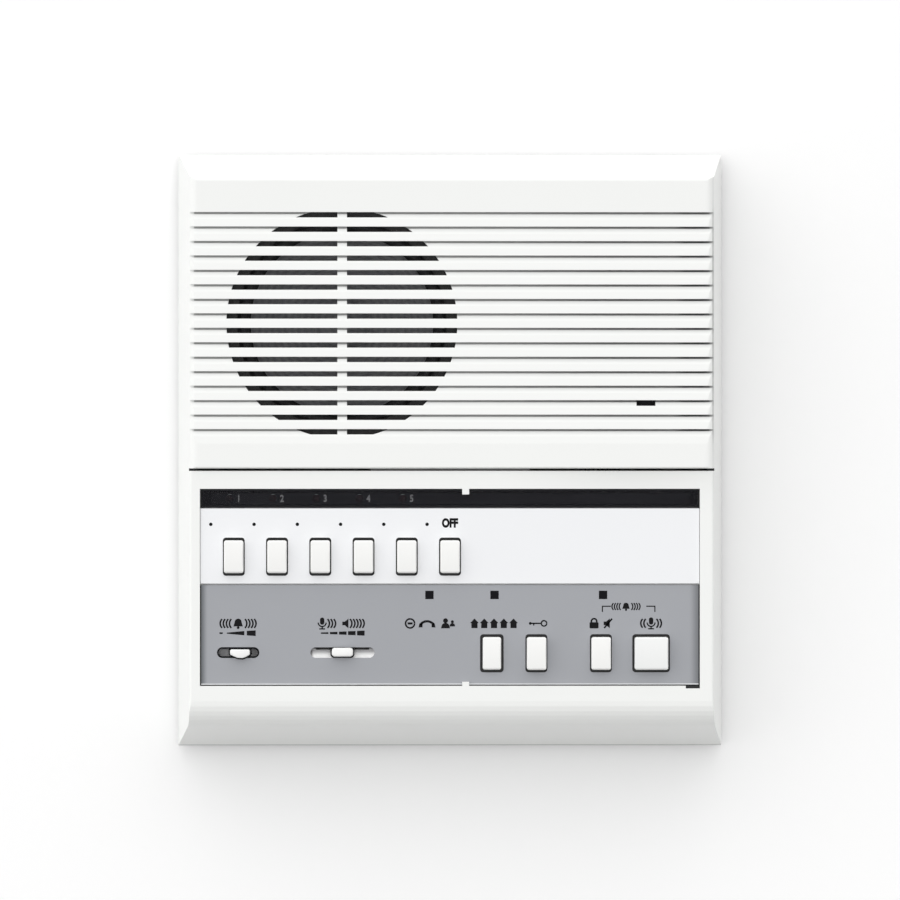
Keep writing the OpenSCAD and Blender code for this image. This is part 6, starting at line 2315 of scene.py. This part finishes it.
@dataclass
class SwitchBoard:
    """The board behind the panel, with its switches, lamps, slide controls and ribbon."""

    def __post_init__(self) -> None:
        """Starts an empty list of pads."""
        self.pads: list[Point2] = []

    def pins(self, name: str, node: str, columns: Sequence[float], rows: Sequence[float],
             width: float = 0.8) -> None:
        """Plants the pins of a switch through the board.

        Args:
            name: Name of the piece.
            node: The switch.
            columns: Places along X from the switch's middle.
            rows: Places along Y from its middle.
            width: Width of a pin.
        """
        middle = middle_mm(node)
        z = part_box("switch_board")[1].z / MM
        spots = [pad_at(middle.x + x, middle.y + y) for x in columns for y in rows]
        self.pads += spots
        part = pin_part(width, -2.6, 0.6)
        plant(name, Finishes.tinned, part, [(x * MM, y * MM, z * MM) for x, y in spots])

    def lamps(self) -> None:
        """Replaces each lamp by a domed lens in a collar on a ribbed spacer, and notes its two pads."""
        places = feet_of("indicator_lamps")
        lens = [(0.0, 12.4), (1.95, 12.4), (1.95, 13.3), (1.85, 13.45), (1.48, 13.5), (1.48, 15.5),
                *arc_points((0.0, 15.6), 1.45, 0, 90, 8)]
        dome = revolved("lens", lens, ORIGIN, 24, False)
        plant("lamp_lenses", Finishes.lamp_red, dome, places, replaces=["indicator_lamps"])
        tube = [(1.2, 0.0), (2.35, 0.0), (2.35, 0.8), (2.1, 1.0)]
        for k in range(9):
            tube += [(r, z + 1.15 * k) for r, z in ((2.1, 1.5), (2.3, 1.7), (2.3, 1.95), (2.1, 2.15))]
        tube += [(2.1, 11.6), (2.35, 11.8), (2.35, 12.38), (1.2, 12.38)]
        plant("lamp_spacers", Finishes.spacer_white, revolved("spacer", tube, ORIGIN, 20), places)
        for place in places:
            self.pads += [pad_at(place[0] / MM + s * 1.27, place[1] / MM) for s in (-1, 1)]

    def ribbon(self) -> None:
        """The wires that join the two boards, side by side."""
        low, high = box_mm("board_ribbon")
        r, count = 0.44, 10
        pitch = (high.x - low.x) / count
        y0, y1, z0 = low.y + 0.45, high.y - 0.45, low.z + 0.45
        bend = 1.0
        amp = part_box("amplifier_board")[0].z / MM
        ends = sorted(((y0, high.z), (y1, amp)), key=lambda end: end[0])
        (first_y, first_z), (last_y, last_z) = ends
        path = [(first_y, first_z - 0.1), (first_y, z0 + bend + 1.0), (first_y + bend, z0),
                ((y0 + y1) / 2, z0), (last_y - bend, z0), (last_y, z0 + bend), (last_y, last_z - 0.05)]
        wire = tubed("wire", Finishes.ribbon_grey, [(0.0, y * MM, z * MM) for y, z in path], r * MM, 8, 8)
        places = [((low.x + pitch * (k + 0.5)) * MM, 0.0, 0.0) for k in range(count)]
        plant("ribbon_wires", Finishes.ribbon_grey, wire, places, (), ["board_ribbon"], ROUND)

    def frames(self) -> None:
        """Folded tabs and contact pins of the slide controls and the switches."""
        for name in ("all_call", "door_release", "privacy", "talk"):
            dress(name + "_switch", Finishes.black_plastic)
            self.pins(name + "_pins", name + "_switch", (-3.0, 0.0, 3.0), (-4.0, 4.0))
        columns = [-40.0 - 2.5 + 16.0 * k + dx for k in range(6) for dx in (0, 5)]
        self.pins("station_pins", "station_switch_frame", columns, (-4.2, 4.2))
        self.pins("signal_volume_pins", "signal_volume_switch", (-9.0, -3.0, 3.0, 9.0), (-3.0, 3.0))
        self.pins("voice_volume_pins", "voice_volume_pot", (-16.0, 16.0), (-3.0, 3.0), 1.4)
        clips = []
        for name in ("all_call_switch", "door_release_switch", "privacy_switch", "talk_switch"):
            low, high = box_mm(name)
            wide, middle = high.x - low.x, (low + high) / 2
            outer = rounded_outline(wide, 9.4, 0.5, 3)
            ring = carved(slab("clip", [(x * 0.99, y * 0.99) for x, y in outer], high.z, high.z + 0.35,
                               (middle.x, middle.y)),
                          slab("hole", rounded_outline(6.9, 6.9, 1.6, 4), high.z - 0.3, high.z + 0.7,
                               (middle.x, middle.y)))
            clips.append(softened(ring, 0.08, 1))
        settle("switch_clips", joined("switch_clips", clips), Finishes.zinc, CASE)

    def build(self) -> None:
        """Dresses the board's nodes and adds their details."""
        dress("switch_board", Finishes.laminate)
        dress("station_switch_frame", Finishes.zinc)
        dress("latch_bar", Finishes.zinc)
        self.frames()
        self.lamps()
        self.ribbon()
        Wiring("switch_board", "switch_board", self.pads).build()


@dataclass
class Fasteners:
    """All the screws: threaded, and with a driver's recess."""

    def drive(self, node: str, screw: Screw, depth: float) -> None:
        """Replaces a node's screws.

        Args:
            node: The node.
            screw: What each one is.
            depth: Height of its own zero above the lowest point, in millimetres.
        """
        places = feet_of(node, depth)
        turns = [0.4 + 1.3 * k for k in range(len(places))]
        plant(node + "_threaded", Finishes.screw_zinc, screw.mesh(node), places, turns, [node])

    def build(self) -> None:
        """Makes each kind of screw."""
        flat = ((0.0, 0.0), (2.6, 0.0), (3.05, 0.12), (3.1, 0.25), (1.6, 1.35), (1.3, 1.6))
        self.drive("case_screws", Screw(flat, 1.28, 12.7, 1.3, 0.25, 1.7, 0.3, 1.1), 0.0)
        self.drive("board_screws", Screw(pan_head(2.4, 1.6, 1.08), 1.08, 7.7, 0.8), 1.6)
        self.drive("speaker_screws", Screw(pan_head(2.6, 1.6, 1.13), 1.13, 2.6, 0.8), 1.6)
        slotted = ((0.0, 0.0), (1.4, 0.0), (1.6, 0.15), (1.6, 0.9), (1.3, 1.0))
        self.drive("terminal_screws", Screw(slotted, 1.3, 3.1, 0.6, 0.12, 1.9, 0.26, 0.7, False), 0.0)


@dataclass
class Rear:
    """The base plate and its feet."""

    def build(self) -> None:
        """Dresses the plate and makes the ridged feet."""
        dress("base_plate", Finishes.base_grey)
        boxes = solids_of("rubber_feet")
        r, h = (boxes[0][1].x - boxes[0][0].x) / 2, boxes[0][1].z - boxes[0][0].z
        profile = [(0.0, 0.5), (1.1, 0.5), (1.3, 0.1), (1.8, 0.1), (2.0, 0.5), (2.6, 0.5), (2.8, 0.04),
                   (3.4, 0.04), (3.6, 0.5), (4.0, 0.5), (4.2, 0.0), (r - 1.1, 0.0), (r - 0.45, 0.35),
                   (r - 0.05, 1.4), (r, h - 1.6), (r - 0.35, h - 1.3), (r - 0.35, h - 0.9), (r, h - 0.8),
                   (r, h), (0.0, h)]
        foot = revolved("foot", profile, ORIGIN, 48, False)
        plant("ridged_feet", Finishes.foot_rubber, foot, feet_of("rubber_feet"), replaces=["rubber_feet"])


# ---------------------------------------------------------------- studio


@dataclass
class Studio:
    """Camera, floor and light. The camera looks straight down, from a little left of the middle."""

    camera_place: Point3 = (-0.035, 0.0, 2.33)
    aim: Point3 = (0.0, 0.0, 0.0025)
    lens: float = 246.5
    sky: float = 0.72
    sky_lean: Point3 = (-0.34, 0.74, 0.38)
    floor_lift: float = 0.06
    floor_half: float = 4.0

    def build(self) -> None:
        """Makes the studio."""
        self.camera()
        self.floor()
        self.world()
        bpy.context.scene.view_settings.view_transform = "Standard"

    def camera(self) -> None:
        """Places the camera and makes it the scene's."""
        data = bpy.data.cameras.new("camera")
        data.lens = self.lens
        data.sensor_width = 36.0
        data.clip_end = 20.0
        camera = bpy.data.objects.new("camera", data)
        bpy.context.scene.collection.objects.link(camera)
        ahead = (Vector(self.aim) - Vector(self.camera_place)).normalized()
        right = ahead.cross(Vector((0, 1, 0))).normalized()
        up = right.cross(ahead)
        turn = Matrix((right, up, -ahead)).transposed()
        camera.matrix_world = Matrix.Translation(self.camera_place) @ turn.to_4x4()
        bpy.context.scene.camera = camera

    def seen(self, bench: ShaderBench) -> Sock:
        """One for rays that show the background: camera, glossy and transmission rays."""
        path = bench.node("ShaderNodeLightPath")
        camera = Sock(bench, path.outputs["Is Camera Ray"])
        glossy = Sock(bench, path.outputs["Is Glossy Ray"])
        through = Sock(bench, path.outputs["Is Transmission Ray"])
        return (camera + glossy + through).clamped()

    def floor(self) -> None:
        """Lays a pale floor that reads as white away from the object's shadow."""
        material = bpy.data.materials.new("studio_floor")
        material.use_nodes = True
        material.node_tree.nodes.clear()
        bench = ShaderBench(material.node_tree)
        paper = bench.noise(300.0, 2.0)
        base = bench.mix(paper, (0.96, 0.96, 0.96), (0.975, 0.975, 0.975))
        base = bench.mix(self.seen(bench), (0.91, 0.91, 0.91), base)
        matt = bench.out("ShaderNodeBsdfDiffuse", None, {"Color": base})
        lift = bench.out("ShaderNodeEmission", None,
                         {"Color": (1.0, 1.0, 1.0), "Strength": self.seen(bench) * self.floor_lift})
        both = bench.out("ShaderNodeAddShader", None, {0: matt, 1: lift})
        bench.node("ShaderNodeOutputMaterial", None, {"Surface": both})
        half = self.floor_half
        sheet = bpy.data.meshes.new("floor")
        corners = [(-half, -half, 0), (half, -half, 0), (half, half, 0), (-half, half, 0)]
        sheet.from_pydata(corners, [], [(0, 1, 2, 3)])
        sheet.materials.append(material)
        floor = bpy.data.objects.new("floor", sheet)
        bpy.context.scene.collection.objects.link(floor)

    def world(self) -> None:
        """A soft sky, brighter towards the top left, and seen as white."""
        world = bpy.data.worlds.new("studio")
        bpy.context.scene.world = world
        world.use_nodes = True
        world.node_tree.nodes.clear()
        bench = Bench(world.node_tree)
        ahead = bench.out("ShaderNodeTexCoord", output="Generated")
        way = bench.node("ShaderNodeSeparateXYZ", None, {"Vector": ahead})
        light = self.sky
        for axis, lean in zip("XYZ", self.sky_lean):
            light = Sock(bench, way.outputs[axis]) * lean + light
        seen = self.seen(bench)
        strength = seen + (1.0 - seen) * light
        sky = bench.out("ShaderNodeBackground", None, {"Color": (1.0, 1.0, 1.0), "Strength": strength})
        bench.node("ShaderNodeOutputWorld", None, {"Surface": sky})


def main() -> None:
    """Builds the object and its studio."""
    logging.basicConfig(level=logging.INFO, format="%(message)s")
    for assembly in (Housing(), Directory(), StationPanel(), ControlPlate(), PushButtons(), SlideControls(),
                     Loudspeaker(), Microphone(), Amplifier(), SwitchBoard(), Fasteners(), Rear()):
        LOG.info("building %s", type(assembly).__name__)
        assembly.build()
    Studio().build()


if __name__ == "__main__":
    main()
